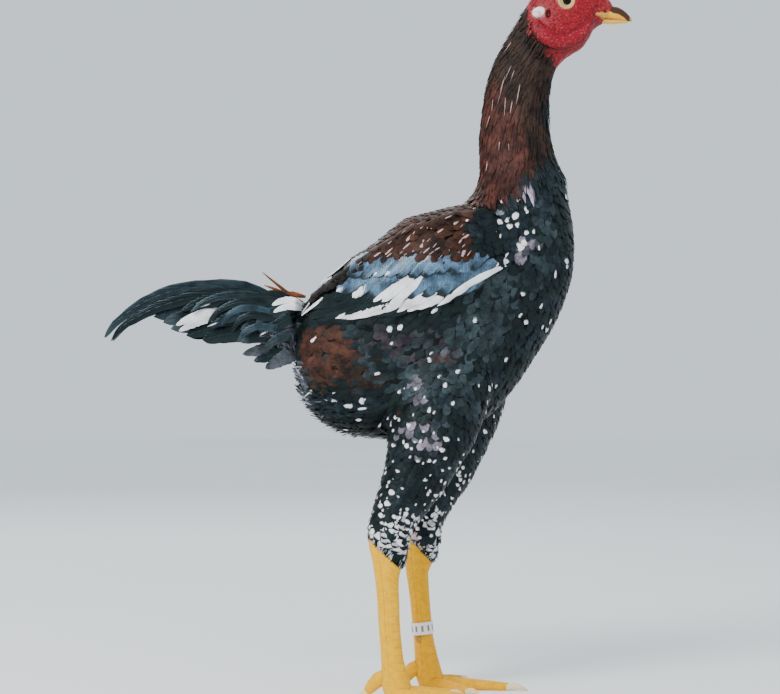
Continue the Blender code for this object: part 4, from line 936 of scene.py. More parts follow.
def make_thigh_feathers(name):
    """Small black feathers with white spots down the thigh, and the pale ones at the hock."""
    surface = thigh_surface(name, 0.0)
    root, way, t, a = meridians(surface, *TRACTS["thigh_coat"])
    hock = fade(seen(root)[1], 114.0, 136.0)
    keep = near_skin(root, "thigh_coat") & (draw.random(len(t)) > 0.42 * hock)
    root, way, t, a, hock = picked(keep, root, way, t, a, hock)
    (x, z), count = seen(root), len(t)
    tint, tip, size, kind = plumage(x, z)
    low = fade(z, 118.0, 200.0)
    spotted = draw.random(count) < 0.05 + 0.32 * low
    size = np.where(spotted, draw.uniform(0.14, 0.5, count) * draw.uniform(0.6, 1.0, count), size)
    white = draw.random(count) < 0.7 * hock
    tint[white] = np.array(WHITE) * draw.uniform(0.5, 1.0, (white.sum(), 1))
    tip[white], size[white] = GREEN_BLACK, EDGED + 0.16
    tint[white & (x < 40.0) & (z < 116.0) & (SIDES[name] > 0)] = PINK_WHITE
    shape = dict(length=9.5 - 1.4 * low + 1.5 * hock, half=3.1 - 0.3 * low + 0.9 * hock,
                 lift=np.full(count, 1.3), pointed=0.15, sunk=0.3, twist=0.2, ruffle=0.04)
    place = np.column_stack([a / TURN, t / 9.0])
    coat(f"thigh_coat_{name}", root, way, shape, (tint, tip, size, kind * 0), place)
    root, way, t, a = meridians(surface, *TRACTS["hock_fringe"])
    count = len(t)
    shape = dict(length=draw.uniform(5.0, 10.0, count), half=np.full(count, 0.75),
                 lift=np.full(count, 2.2), pointed=0.9, twist=0.3)
    tint, none = alike(GREEN_BLACK, count), np.zeros(count)
    tint[draw.random(count) < 0.3] = PALE_GREY
    place = np.column_stack([a / TURN, t / 9.0])
    coat(f"hock_fringe_{name}", root, way, shape, (tint, tint, none, none), place)


# Wings

def beside_skin(x, z, side):
    """The points of the skin seen from the side at x and z in millimetres, and its normals."""
    def found(at_x, at_z):
        hit = skin.ray_cast(Vector((at_x, side * 0.12, at_z)), Vector((0.0, -side, 0.0)), 0.12)
        return (hit if hit[0] is not None else skin.find_nearest(Vector((at_x, side * 0.02, at_z))))[:2]

    base, normal = np.moveaxis([found(*place) for place in zip(x.ravel() * MM, z.ravel() * MM)], 1, 0)
    return base.reshape(*x.shape, 3), normal.reshape(*x.shape, 3)


def wing_feathers(name, side, roots, tips, half, lift, pointed, bow, marks, kind, frayed=0.05):
    """Longer feathers between given roots and tips in the side view, over the skin of the wing."""
    u, v = np.linspace(0, 1, WING_GRID[0]) ** 0.8, np.linspace(-1, 1, WING_GRID[1])
    way = unit(tips - roots)
    cross = np.stack([-way[:, 1], way[:, 0]], -1)
    middle = roots[:, None] + (tips - roots)[:, None] * u[None, :, None]
    middle = middle + cross[:, None] * (bow[:, None] * np.sin(math.pi * u))[..., None]
    wide = half[:, None] * half_widths(u, pointed)[None]
    fray = 1 + frayed * draw.normal(0, 1, (len(roots), *WING_GRID)) * (np.abs(v) > 0.9)
    flat = middle[:, :, None] + (-side * cross)[:, None, None] * (wide[:, :, None] * v * fray)[..., None]
    base, normal = beside_skin(flat[..., 0], flat[..., 1], side)
    high = (lift[:, None] * (0.35 + 0.65 * u))[..., None] - 0.35 * v ** 2 - side * 0.45 * v
    vanes(name, base + normal * (high * MM)[..., None], normal, v, u, 0.45, marks,
          np.column_stack([(roots[:, 0] + 60) / 170, (roots[:, 1] - 250) / 100]), kind)


def wing_tier(side, label, count, roots, tips, half, lift, pointed, colour):
    """One row of the wing's longer feathers."""
    f = (np.arange(count) + 0.5) / count
    start, end = (flow(line, f * (len(line) - 1)) for line in (roots, tips))
    end = end + draw.normal(0, 0.7, end.shape)
    tint = alike(colour, count) * draw.uniform(0.75, 1.3, (count, 1))
    tip, size = alike(GREEN_BLACK, count), np.full(count, EDGED + 0.3)
    for x, z, share in WING_SPOTS if colour == STEEL else ():
        off = np.hypot(end[:, 0] - x, end[:, 1] - z)
        if off.min() < 5.0:
            tip[np.argmin(off)], size[np.argmin(off)] = WHITE, share
    wing_feathers(label, side, start, end, half * draw.uniform(0.92, 1.08, count),
                  lift + 0.12 * np.arange(count) % 0.3, pointed, draw.normal(0, 0.5, count),
                  (tint, tip, size), "gloss" if colour == STEEL else "tail")


def make_wing(name, side):
    """The folded wing: flights along its lower edge, two rows of coverts and the small bow feathers."""
    for label, tier in WING_TIERS.items():
        wing_tier(side, f"wing_{label}_{name}", *tier)
    white = np.array(WHITE_FEATHERS)
    count = len(white)
    half, lift, bow = white[:, 4:7].T
    marks = alike(WHITE, count), alike(PALE_GREY, count), np.zeros(count)
    wing_feathers(f"wing_white_{name}", side, white[:, 0:2], white[:, 2:4], half, lift, 0.35, bow,
                  marks, "dark", 0.02)
    columns = BOW_ACROSS[-1]
    t, q = np.meshgrid(np.linspace(*BOW_ALONG), np.linspace(*BOW_ACROSS), indexing="ij")
    t = (t + draw.uniform(-0.1, 0.1, t.shape)).ravel()
    q = (q + draw.uniform(-0.03, 0.03, q.shape)).ravel() + 0.02 * (np.arange(len(t)) // columns % 2)
    root = wing_surface(t, q, side, 0.0)
    way = (unit(wing_surface(t + 0.05, q, side, 0.0) - root)
           + 0.62 * unit(wing_surface(t, q + 0.02, side, 0.0) - root))
    x, z = seen(root)
    keep = (z > 307.0 + draw.uniform(-2.0, 2.0, len(t))) | (q < 0.17) | ((x > 76.0) & (q < 0.4))
    root, way, x, z, t, q = picked(keep, root, way, x, z, t, q)
    count = len(t)
    tint, tip, size, _ = plumage(x, z)
    brown = x < 79.0 - 0.25 * (z - 300.0)
    rear = ease(x, -6.0, 16.0)[brown, None]
    tint[brown] = (np.array(BROWN_BLACK) * 0.35 * (1 - rear) + np.array(CHESTNUT) * rear) * draw.uniform(
        0.35, 1.0, (brown.sum(), 1))
    pink = brown & (draw.random(count) < 0.4) & (x > 0.0)
    tip[pink] = PINK_WHITE
    size = np.where(brown, np.where(pink, draw.uniform(0.14, 0.3, count), 0.0), size)
    shape = dict(length=np.full(count, 10.5), half=np.full(count, 3.7), lift=np.full(count, 2.5), pointed=0.25,
                 sunk=-1.0, ruffle=0.04)
    coat(f"wing_bow_{name}", root, way, shape, (tint, tip, size, brown * 1), np.column_stack([t / 9.0, q]))


# Tail

def upright_feathers(name, rows, marks, kind):
    """Free upright feathers, each given by its middle line, half width, distance out, point and side."""
    count = len(rows)
    u, v = np.linspace(0, 1, TAIL_GRID[0]) ** 0.9, np.linspace(-1, 1, TAIL_GRID[1])
    base, normal = np.empty((2, count, *TAIL_GRID, 3))
    for k, (line, half, off, pointed, side) in enumerate(rows):
        t = u * (len(line) - 1)
        at, ahead = flow(line, t), heading(line, t)
        fray = 1 + 0.06 * draw.normal(0, 1, TAIL_GRID) * (np.abs(v) > 0.9)
        wide = half * half_widths(u, pointed)[:, None] * v * fray
        spread = off * (0.45 + 0.55 * np.clip(u * 4, 0, 1))[:, None] - 0.14 * wide ** 2 / half
        x, z = at[:, None, 0] - ahead[:, None, 1] * wide, at[:, None, 1] + ahead[:, None, 0] * wide
        order = slice(None, None, -side)
        base[k] = (np.stack([x, side * spread, z], -1) * MM)[:, order]
        normal[k] = np.stack([0 * wide, side + 0 * wide, 0.28 * wide / half], -1)[:, order]
    roots = np.array([row[0][0][0] for row in rows])
    place = np.column_stack([(roots + 90) / 120, 0.1 + 0.8 * np.arange(count) / count])
    vanes(name, base, normal, v, u, 0.5, marks, place, kind)


def make_tail():
    """The tail's feathers and their coverts, and the saddle feathers that stand up before it."""
    rows, tint, size = [], [], []

    def grow(line, half, out, pointed, colour, share=0.0):
        rows.append((line, half, out, pointed, side))
        tint.append(np.array(colour) * draw.uniform(0.6, 1.1))
        size.append(share)

    for side in SIDES.values():
        for k, (line, half, out, narrow) in enumerate(TAIL_FEATHERS):
            colour = DOWN_GREY if k > 9 else BLUE_BLACK if k % 3 == 1 else GREEN_BLACK
            sickle = len(line) > 6
            grow(line, half * (1.15 if sickle else 1.0), out, 0.9 if sickle else 0.6 if narrow else 0.2, colour)
            follower = TAIL_FEATHERS[min(k + 1, len(TAIL_FEATHERS) - 1)]
            if k + 1 < len(TAIL_FEATHERS) and len(follower[0]) == len(line) and not sickle:
                middle = (np.array(line, float) + np.array(follower[0], float)) / 2
                grow(middle + draw.normal(0, 0.8, middle.shape), half, (out + follower[2]) / 2,
                     0.75 if narrow else 0.3, GREEN_BLACK)
        for k, (line, half, out, colour, share) in enumerate(TAIL_COVERTS):
            dropped = side > 0 and k % 2 == 1 and colour == WHITE
            grow(line, half, out, 0.5, BLUE_BLACK if dropped else colour, share)
    tips, tint, size = alike(WHITE, len(rows)), np.array(tint), np.array(size)
    # Painted highlight: a share of the plain dark tail feathers get a lighter rim all round.
    lit = (size == 0.0) & (draw.random(len(rows)) < 0.45) & (tint[:, 0] < 0.02)
    tips[lit], size[lit] = np.array(DUSKY_AND_SHEEN) * 1.3, EDGED + 0.35
    upright_feathers("tail_feathers", rows, (tint, tips, size), "tail")
    rows = [(*row, 1.0, side) for side in SIDES.values() for row in STANDING]
    count = len(rows)
    marks = (alike(GINGER, count) * draw.uniform(0.5, 1.3, (count, 1)), alike(WHITE, count), np.zeros(count))
    upright_feathers("saddle_standing", rows, marks, "chestnut")


def make_tail_base():
    """Short coverts over the root of the tail, grey and white below."""
    root, way, t, a = meridians(lambda t, a: between_lines(TAIL_ROOT, t, a), *TRACTS["tail_base_coat"])
    root, way, t, a = picked(near_skin(root, "tail_base_coat"), root, way, t, a)
    count = len(t)
    tip = plumage(*seen(root))[1]
    tint = alike(GREEN_BLACK, count) * draw.uniform(0.7, 1.5, (count, 1))
    downy = (1 - np.cos(a)) / 2 > draw.uniform(0.55, 0.8, count)
    tint[downy] = np.array(DOWN_GREY) * draw.uniform(0.5, 2.2, (downy.sum(), 1))
    tint[~downy & (draw.random(count) < 0.12)] = WHITE
    shape = dict(length=np.where(downy, 17.0, 15.0), half=np.where(downy, 1.8, 3.4),
                 lift=np.where(downy, 6.5, 2.2), pointed=0.5, sunk=0.4, twist=0.3)
    none = np.zeros(count)
    coat("tail_base_coat", root, way, shape, (tint, tip, none, none), np.column_stack([a / TURN, t / 4.0]))


def make_down():
    """Loose grey and white down round the vent and along the belly's rear."""
    root, way, t, a = meridians(trunk, *TRACTS["vent_down"])
    low = (1 - np.cos(a)) / 2
    keep = (low > draw.uniform(0.45, 0.8, len(t))) & (t > 28.8 - 2.6 * low) & near_skin(root, "vent_down")
    root, way, t, a = picked(keep, root, way, t, a)
    (x, z), count = seen(root), len(t)
    fluffy = ease(-x, 30.0, 42.0) * fade(z, 226.0, 240.0)
    pale = draw.random(count) < 0.05 + 0.38 * fluffy
    tint = np.where(pale[:, None], PALE_GREY, np.array(GREEN_BLACK) * 1.5 + np.outer(fluffy, DOWN_GREY) * 0.6)
    tint = tint * draw.uniform(0.5, 1.5, (count, 1))
    shape = dict(length=draw.uniform(6.0, 12.0, count), half=0.9 + 0.5 * fluffy,
                 lift=draw.uniform(2.0, 5.5, count), pointed=0.8, twist=0.6, ruffle=0.3)
    none = np.zeros(count)
    place = np.column_stack([a / TURN, (t - 14.0) / 16.0])
    coat("vent_down", root, way, shape, (tint, tint, none, none), place)


# Horn, lobes and eyes

def make_bill(finish):
    """The bill, yellow with a dark purplish ridge."""
    for name, rows in (("upper", UPPER_BILL), ("lower", LOWER_BILL + (0.0, 0.25, 0.0, 0.3, 0.0))):
        mesh = loft(rows, 60, 56)
        x, z = seen(read(mesh.vertices))
        ridge = np.interp(x, UPPER_BILL[:, 0], UPPER_BILL[:, 1])
        dark = fade(ridge - z, 3.6, 7.2) * (1 - 0.6 * ease(x, 179.5, 184.5))
        paint(mesh, "dark", dark if name == "upper" else 0 * dark)
        paint(mesh, "along", (x - 165.0) / 20.0)
        show(f"bill_{name}", mesh, [finish], "bill_horn", [f"beak_{name}"])


def make_eye(name, side, finish):
    """An eye, ringed from its pupil outwards by the angle from the way it looks."""
    centre = np.array([EYE[0], side * (head_width(*EYE) - EYE_SINK), EYE[1]])
    mesh = ellipsoid(centre, (EYE_RADIUS,) * 3, rings=48, sides=64)
    points = read(mesh.vertices) / MM - centre
    gaze = unit(np.array([0.10, side, 0.02]))
    along = points @ gaze
    off = np.linalg.norm(points - along[:, None] * gaze, axis=1)
    paint(mesh, "ring", np.where(along > 0, off, 9.0))
    bulge = 0.35 * np.exp(-(off / 2.6) ** 2) * (along > 0)
    moved(mesh, read(mesh.vertices) + gaze * (bulge * MM)[:, None])
    show(f"eyeball_{name}", mesh, [finish], "eye", [f"eye_{name}"], sharp=0)


def make_lobe(name, side, finish):
    """The pale folded lobe below an ear."""
    mesh = ellipsoid((LOBE[0], side * (head_width(*LOBE) + 0.1), LOBE[1]), LOBE_SIZE, LOBE_TILT, 60, 72)
    points = read(mesh.vertices)
    folds = grain(points * (0.6, 1.0, 1.4), 2.4)
    raised(mesh, points, 0.22 * folds)
    paint(mesh, "crease", np.clip(0.5 - folds, 0, 1))
    show(f"lobe_{name}", mesh, [finish], "lobe_skin", [f"earlobe_{name}"], sharp=0)


# Legs

def hollows(mesh):
    """How deep each point lies below the even surface round it, in millimetres."""
    points, normals = read(mesh.vertices), read(mesh.vertex_normals, "vector")
    pairs = np.zeros(len(mesh.edges) * 2, np.int32)
    mesh.edges.foreach_get("vertices", pairs)
    a, b = pairs.reshape(-1, 2).T
    count = np.bincount(pairs, minlength=len(points))
    even = points
    for _ in range(8):
        total = [np.bincount(a, axis[b], len(points)) + np.bincount(b, axis[a], len(points)) for axis in even.T]
        even = 0.5 * even + 0.5 * np.stack(total / count, -1)
    return ((even - points) * normals).sum(1) / MM


def shingle(f):
    """The height of one scute along its length: it rises to its lower edge and drops there."""
    return 0.35 + 0.65 * f - 1.15 * np.clip((f - 0.88) / 0.12, 0, 1) ** 2


def shank_shape(name):
    """The shank, with two rows of overlapping scutes down its front."""
    rows = SHANK_LINES[name]
    plain = lambda t, a: between_lines(rows, t, a, SIDES[name] * LEG_SPREAD)

    def surface(u, w):
        t, a = u * (len(rows) - 1), w * TURN
        z = flow(rows, t)[..., [1, 3]].mean(-1)
        off = np.abs(a - math.pi)
        f = (SCUTE_TOP - z) / SCUTE_STEP + np.where(a > math.pi, 0.0, 0.5)
        front = np.clip((1.55 - off) / 0.12, 0, 1)
        seam = np.clip(off / 0.07, 0, 1) * np.clip((1.5 - off) / 0.07, 0.2, 1)
        back = 0.12 * np.abs(np.sin(z * math.pi / 3.0) * np.sin(off * 7.0)) ** 0.5
        back = back - 0.5 * np.exp(-((off - 1.95) / 0.07) ** 2)
        high = 0.75 * shingle(f - np.floor(f)) * seam * front + back * np.clip((off - 1.62) / 0.1, 0, 1)
        return lifted(plain, t, a, high * ease(z, 10.0, 20.0) * fade(z, 102.0, 109.0) * MM)

    return surface


def along_floor(path, width, crest):
    """A toe along a path of x, y and half its height, flat below where it bears."""
    def surface(u, w):
        t, a = u * (len(path) - 1), w * TURN
        place, ahead = flow(path, t), heading(path, t)
        across = width(u) * np.sin(a)
        half = place[..., 2] + crest(u) * np.clip(np.cos(a), 0, 1) ** 0.5
        x, y = place[..., 0] - ahead[..., 1] * across, place[..., 1] + ahead[..., 0] * across
        return np.stack([x, y, np.maximum(place[..., 2] - 0.25 + half * np.cos(a), 0.0)], -1) * MM

    return surface


def front_toe(name, toe):
    """A front toe, with scutes on top and swelling at the joints, and its claw."""
    side = SIDES[name]
    turn, length, claw = TOES[name][toe]
    ahead = np.array([math.cos(math.radians(turn)), side * math.sin(math.radians(turn))])
    start = np.array([FOOT_X[name], side * (LEG_SPREAD + TOE_OFFSET[toe])])
    path = [(*(start + ahead * length * f), high / 2) for f, high in zip((0.1, 0.4, 0.7, 1.0), TOE_HEIGHTS)]
    count = round(length / TOE_SCUTE)
    crest = lambda u: 0.6 * shingle(u * count % 1.0) * np.clip(u * 6, 0, 1)
    first, last = TOE_WIDTH
    blunt = lambda u: np.sqrt(np.clip(1 - u ** 14, 0.02, 1))
    width = lambda u: (first + (last - first) * u + 0.35 * np.cos(u * TURN * 3.0)) * blunt(u)
    tip, claw = start + ahead * (length - CLAW_ROOT), claw + CLAW_ROOT
    straight = along_floor([(*(tip + ahead * claw * f), half) for f, half in CLAW_HALVES],
                           lambda u: 2.3 * (1 - u) ** 0.6 + 0.12, lambda u: 0.0)

    def hooked(u, w):
        point = straight(u, w)
        point[..., 2] += 1.1 * np.sin(math.pi * np.clip(u, 0, 1)) * MM
        return point

    nail = tube(hooked, 60, 40)
    paint(nail, "along", (read(nail.vertices)[:, :2] / MM - tip) @ ahead / claw)
    return tube(along_floor(path, width, crest), 150, 60), nail


def hind_shape(name, first, last):
    """A stretch of the hind toe: the toe itself from row 0 to 4 and its claw beyond."""
    side, shift = SIDES[name], FOOT_X[name] - FOOT_X["right"]

    def surface(u, w):
        t, a = first + (last - first) * u, w * TURN
        x, z, radius = np.moveaxis(flow(HIND_TOE, t), -1, 0)
        y = side * (LEG_SPREAD - HIND_SLEW * (14.0 - x))
        scutes = 0.35 * shingle(t * 1.8 % 1.0) * np.clip(np.cos(a), 0, 1) ** 0.5
        radius = radius + np.where(t < 3.9, scutes, 0.0)
        return np.stack([x + shift - radius * 0.7 * np.cos(a), y + radius * 0.9 * np.sin(a),
                         np.maximum(z + radius * 0.75 * np.cos(a), 0.0)], -1) * MM

    return surface


def make_leg(name, scales, claws, spurs):
    """Shank and toes as one piece, with the claws and the spur as pieces of their own."""
    shapes = [tube(shank_shape(name), 300, 160), tube(hind_shape(name, 0.0, 4.0), 80, 60)]
    toes = {toe: front_toe(name, toe) for toe in TOES[name]}
    mesh = melted(shapes + [shape for shape, _ in toes.values()], 0.4, 1)
    paint(mesh, "groove", ease(hollows(mesh), -0.02, 0.10))
    # The melting rounds the soles, so whatever went below the floor is put back on it.
    moved(mesh, np.maximum(read(mesh.vertices), (-9.0, -9.0, 0.0)))
    nodes = [f"shank_{name}"] + [f"toe_{name}_{toe}" for toe in (*TOES[name], "hind")]
    show(f"leg_{name}", mesh, [scales], "leg_scale", nodes, sharp=0)
    nail = tube(hind_shape(name, 3.98, 6.0), 50, 40)
    back, claw = HIND_CLAW
    paint(nail, "along", (FOOT_X[name] - back - read(nail.vertices)[:, 0] / MM) / claw)
    for toe, (_, mesh) in {**toes, "hind": (None, nail)}.items():
        show(f"nail_{name}_{toe}", mesh, [claws], "claw_horn", [f"claw_{name}_{toe}"])
    make_spur(name, spurs)


def make_spur(name, finish):
    """A short blunt spur on the inner rear of the shank."""
    side = SIDES[name]
    start = np.array([SHANK_LINES[name][6][0] + 6.0, side * (LEG_SPREAD - 2.0), SPUR_Z])
    way = unit(np.array([-0.55, -side * 0.83, 0.12]))
    right = unit(np.cross(way, (0, 0, 1)))
    up = np.cross(right, way)

    def surface(u, w):
        radius = SPUR_RADIUS * np.sqrt(np.clip(1 - u ** 2.2, 0, 1)) * (1 + 0.02 * np.cos(u * 60)) + 0.02
        around = right * (radius * np.cos(w * TURN))[..., None] + up * (radius * np.sin(w * TURN))[..., None]
        return (start + way * (u * SPUR_LENGTH)[..., None] + around) * MM

    mesh = tube(surface, 50, 40)
    paint(mesh, "along", (read(mesh.vertices) / MM - start) @ way / SPUR_LENGTH)
    show(f"spur_horn_{name}", mesh, [finish], "claw_horn", [f"spur_{name}"])


def make_leg_ring(finish):
    """The loose flat ring on the left shank, with plain dark marks round it."""
    foot, head = (halves(flow(SHANK_LINES["left"], np.array(row)))[0] for row in (6.0, 5.0))
    axis = (head - foot) / np.linalg.norm(head - foot)
    centre = foot + (head - foot) * (RING_Z - foot[1]) / (head[1] - foot[1])
    shape = bmesh.new()
    bmesh.ops.create_circle(shape, segments=96, radius=RING_OUT)
    spun = bmesh.ops.extrude_edge_only(shape, edges=shape.edges[:])
    bmesh.ops.translate(shape, verts=[v for v in spun["geom"] if isinstance(v, bmesh.types.BMVert)],
                        vec=(0, 0, RING_HEIGHT))
    bmesh.ops.translate(shape, verts=shape.verts, vec=(0, 0, -RING_HEIGHT / 2))
    bmesh.ops.recalc_face_normals(shape, faces=shape.faces)
    # The wall grows inwards from here, whichever way its faces look.
    outward = sum(f.normal.dot(Vector((*f.calc_center_median()[:2], 0))) for f in shape.faces)
    bmesh.ops.solidify(shape, geom=shape.faces[:], thickness=(RING_OUT - RING_IN) * (1 if outward > 0 else -1))
    rims = [e for e in shape.edges if abs(e.calc_face_angle(0.0)) > 1.0]
    bmesh.ops.bevel(shape, geom=rims, offset=RING_EDGE, segments=3, profile=0.5, affect="EDGES", material=-1)
    bmesh.ops.recalc_face_normals(shape, faces=shape.faces)
    mesh = cast(shape, "ring")
    x, y, z = read(mesh.vertices).T
    paint(mesh, "turn", np.arctan2(y, x))
    paint(mesh, "level", z / RING_HEIGHT)
    moved(mesh, np.stack([centre[0] + axis[0] * z + axis[1] * x, LEG_SPREAD + y,
                          centre[1] + axis[1] * z - axis[0] * x], -1) * MM)
    show("leg_band", mesh, [finish], "ring_plastic", ["leg_ring"])


# Materials

class Value:
    """A node's output, which the signs of arithmetic join to further nodes."""

    def __init__(self, nodes, socket):
        self.nodes, self.socket = nodes, socket

    def __add__(self, other):
        return self.nodes.calc("ADD", self, other)

    def __sub__(self, other):
        return self.nodes.calc("SUBTRACT", self, other)

    def __rsub__(self, other):
        return self.nodes.calc("SUBTRACT", other, self)

    def __mul__(self, other):
        return self.nodes.calc("MULTIPLY", self, other)

    def __abs__(self):
        return self.nodes.calc("ABSOLUTE", self)

    def ramp(self, low, high, to_low=0.0, to_high=1.0):
        return self.nodes.node("ShaderNodeMapRange", "Result", {
            "Value": self, "From Min": low, "From Max": high, "To Min": to_low, "To Max": to_high},
            interpolation_type="SMOOTHSTEP")


class Nodes:
    """A tree of nodes, with short ways of adding and joining them."""

    def __init__(self, tree):
        self.tree = tree

    def feed(self, socket, value):
        if isinstance(value, Value):
            self.tree.links.new(value.socket, socket)
        else:
            socket.default_value = value

    def node(self, kind, output, inputs, **settings):
        """Adds a node and gives its output."""
        made = self.tree.nodes.new(kind)
        for key, value in settings.items():
            setattr(made, key, value)
        for socket, value in inputs.items():
            self.feed(made.inputs[socket], value)
        return Value(self, made.outputs[output])

    def calc(self, operation, *values):
        return self.node("ShaderNodeMath", 0, dict(enumerate(values)), operation=operation)

    def mix(self, share, first, second, kind="MIX"):
        pair = [(*value, 1.0) if isinstance(value, tuple) else value for value in (first, second)]
        return self.node("ShaderNodeMix", 2, {0: share, 6: pair[0], 7: pair[1]},
                         data_type="RGBA", blend_type=kind)

    def noise(self, scale, detail=3.0, rough=0.5, stretch=None):
        """Noise in the piece's own space, drawn out where stretch says so."""
        where = self.node("ShaderNodeTexCoord", "Object", {})
        if stretch:
            where = self.node("ShaderNodeMapping", "Vector", {"Vector": where, "Scale": stretch})
        return self.node("ShaderNodeTexNoise", "Fac", {
            "Vector": where, "Scale": scale, "Detail": detail, "Roughness": rough})


class Finish(Nodes):
    """A material, its shader and the attributes that its pieces carry."""

    def __init__(self, name, soft=None, **shader):
        self.material = bpy.data.materials.new(name)
        self.material.use_nodes = True
        super().__init__(self.material.node_tree)
        self.shader = self.tree.nodes["Principled BSDF"]
        if soft:
            weight, *radius = soft
            shader.update(Subsurface_Weight=weight, Subsurface_Radius=radius, Subsurface_Scale=0.4)
        for socket, value in shader.items():
            value = (*value, 1.0) if "Tint" in socket else value
            self.shader.inputs[socket.replace("_", " ")].default_value = value

    def attribute(self, name, output="Fac"):
        return self.node("ShaderNodeAttribute", output, {}, attribute_name=name)

    def finish(self, colour, rough, height=None, strength=0.3, distance=0.0005):
        self.feed(self.shader.inputs["Base Color"], colour)
        self.feed(self.shader.inputs["Roughness"], rough)
        if height:
            self.feed(self.shader.inputs["Normal"], self.node(
                "ShaderNodeBump", "Normal", {"Height": height, "Strength": strength, "Distance": distance}))
        return self.material


def barbs_group():
    """The shaft and the slanting barbs of a feather, from its own two coordinates."""
    group = bpy.data.node_groups.new("feather_barbs", "ShaderNodeTree")
    for name, way in (("Across", "INPUT"), ("Along", "INPUT"), ("Seed", "INPUT"),
                      ("Streak", "OUTPUT"), ("Shaft", "OUTPUT"), ("Height", "OUTPUT")):
        group.interface.new_socket(name=name, in_out=way, socket_type="NodeSocketFloat")
    made, source, result = Nodes(group), group.nodes.new("NodeGroupInput"), group.nodes.new("NodeGroupOutput")
    across, along, seed = (Value(made, source.outputs[name]) for name in ("Across", "Along", "Seed"))
    out = abs(across - 0.5) * 2.0
    slant = along * 26.0 - out * 4.5
    place = made.node("ShaderNodeCombineXYZ", 0, {"X": slant, "Y": across * 2.0, "Z": seed * 40.0})
    streak = made.node("ShaderNodeTexNoise", "Fac", {"Vector": place, "Scale": 1.3, "Detail": 4.0})
    shaft = made.calc("MAXIMUM", 1.0 - out * 14.0, 0.0)
    height = made.calc("SINE", slant * 4.2) * 0.22 + (streak + shaft)
    for name, value in (("Streak", streak), ("Shaft", shaft), ("Height", height)):
        made.feed(result.inputs[name], value)
    return group


def feather_finish(name, group, shaft_colour, rough, spot, **shader):
    """Feathers: their own colour, streaked along the barbs, with a lighter shaft and a tip.

    spot says how narrow and how short the tip's mark is.
    """
    made = Finish(name, **shader)
    place = made.node("ShaderNodeUVMap", "UV", {}, uv_map="vane")
    across = made.node("ShaderNodeSeparateXYZ", "X", {"Vector": place})
    along = Value(made, across.socket.node.outputs["Y"])
    seed, share, tint = made.attribute("seed"), made.attribute("tip", "Alpha"), made.attribute("tint", "Color")
    streak = made.node("ShaderNodeGroup", "Streak", {}, node_tree=group)
    barbs = streak.socket.node
    for socket, value in (("Across", across), ("Along", along), ("Seed", seed)):
        made.feed(barbs.inputs[socket], value)
    shaft, height = (Value(made, barbs.outputs[socket]) for socket in ("Shaft", "Height"))
    own = tint
    for mask, dark, light in ((made.noise(95.0, 3.0, 0.6).ramp(0.34, 0.66), 0.5, 1.65),
                              (streak.ramp(0.32, 0.68), 0.72, 1.28)):
        own = made.mix(1.0, own, made.mix(mask, (dark,) * 3, (light,) * 3), "MULTIPLY")
    own = made.mix(made.node("ShaderNodeRGBToBW", 0, {"Color": tint}).ramp(0.15, 0.5, 0.0, 0.75), own, tint)
    own = made.mix(shaft * 0.35, own, shaft_colour)
    sideways = (across - 0.5) * seed.ramp(0.0, 1.0, 0.4 * spot[0], 1.4 * spot[0])
    back = (0.97 - along) * spot[1]
    ragged = (streak - 0.5) * 0.34
    tipped = (share + ragged - made.calc("SQRT", sideways * sideways + back * back)).ramp(-0.02, 0.05)
    edge = made.calc("MAXIMUM", abs(across - 0.5) * 2.0, along) + ragged * 0.6
    rim, whole = (edge - share * 0.3).ramp(0.10, 0.22), made.calc("GREATER_THAN", share, 1.5)
    tipped = tipped * share.ramp(0.01, 0.03) * (1.0 - whole) + rim * whole
    own = made.mix(tipped, own, made.attribute("tip", "Color"))
    return made.finish(own, streak.ramp(0.3, 0.7, *rough), height, 0.35, 0.0002)


def face_finish():
    """Red bare skin, mottled with deeper red, with painted shade in its creases, pits and mouth slit and a
    paler pink speckle between the creases as painted highlight.
    """
    made = Finish("face_skin", (0.05, 0.004, 0.001, 0.0007),
                  Specular_IOR_Level=0.32, Specular_Tint=(1.0, 0.7, 0.74))
    crease, mottle = made.attribute("crease"), made.noise(340.0, 4.0, 0.6)
    own = made.mix(mottle.ramp(0.35, 0.7, 0.0, 0.38), made.attribute("tint", "Color"), (0.17, 0.002, 0.006))
    # Painted shade: darker red in the creases, pits and mouth slit.
    own = made.mix(crease * 0.9, own, (0.060, 0.0010, 0.003))
    # Painted highlight: a paler pink speckle on the skin between the creases.
    pale = made.noise(700.0, 2.0).ramp(0.52, 0.72) * crease.ramp(0.0, 0.4, 0.4, 0.0)
    own = made.mix(pale, own, (0.66, 0.16, 0.17))
    height = made.noise(2600.0, 2.0) + crease * -0.5
    return made.finish(own, mottle.ramp(0.3, 0.7, 0.36, 0.55), height, 0.35, 0.0003)


def under_finish():
    """The feathered skin, darkened between the feathers as painted shade."""
    made = Finish("feathered_skin", Specular_IOR_Level=0.08)
    # Painted shade: near black patches on the skin that shows between the feathers.
    shade_patches = made.noise(900.0, 4.0).ramp(0.35, 0.65)
    own = made.mix(shade_patches, made.attribute("tint", "Color"), (0.004, 0.006, 0.006))
    return made.finish(own, made.noise(600.0).ramp(0.3, 0.7, 0.55, 0.75), made.noise(1500.0), 0.6, 0.0006)


def lobe_finish():
    """White lobe skin with pinkish folds."""
    made = Finish("lobe_skin", (0.15, 0.003, 0.0015, 0.001))
    crease = made.attribute("crease")
    own = made.mix(crease.ramp(0.35, 0.95), (0.80, 0.76, 0.74), (0.62, 0.40, 0.38))
    own = made.mix(made.noise(420.0).ramp(0.5, 0.75, 0.0, 0.5), own, (0.72, 0.54, 0.52))
    return made.finish(own, crease.ramp(0.0, 1.0, 0.45, 0.62), made.noise(2200.0), 0.3, 0.0003)


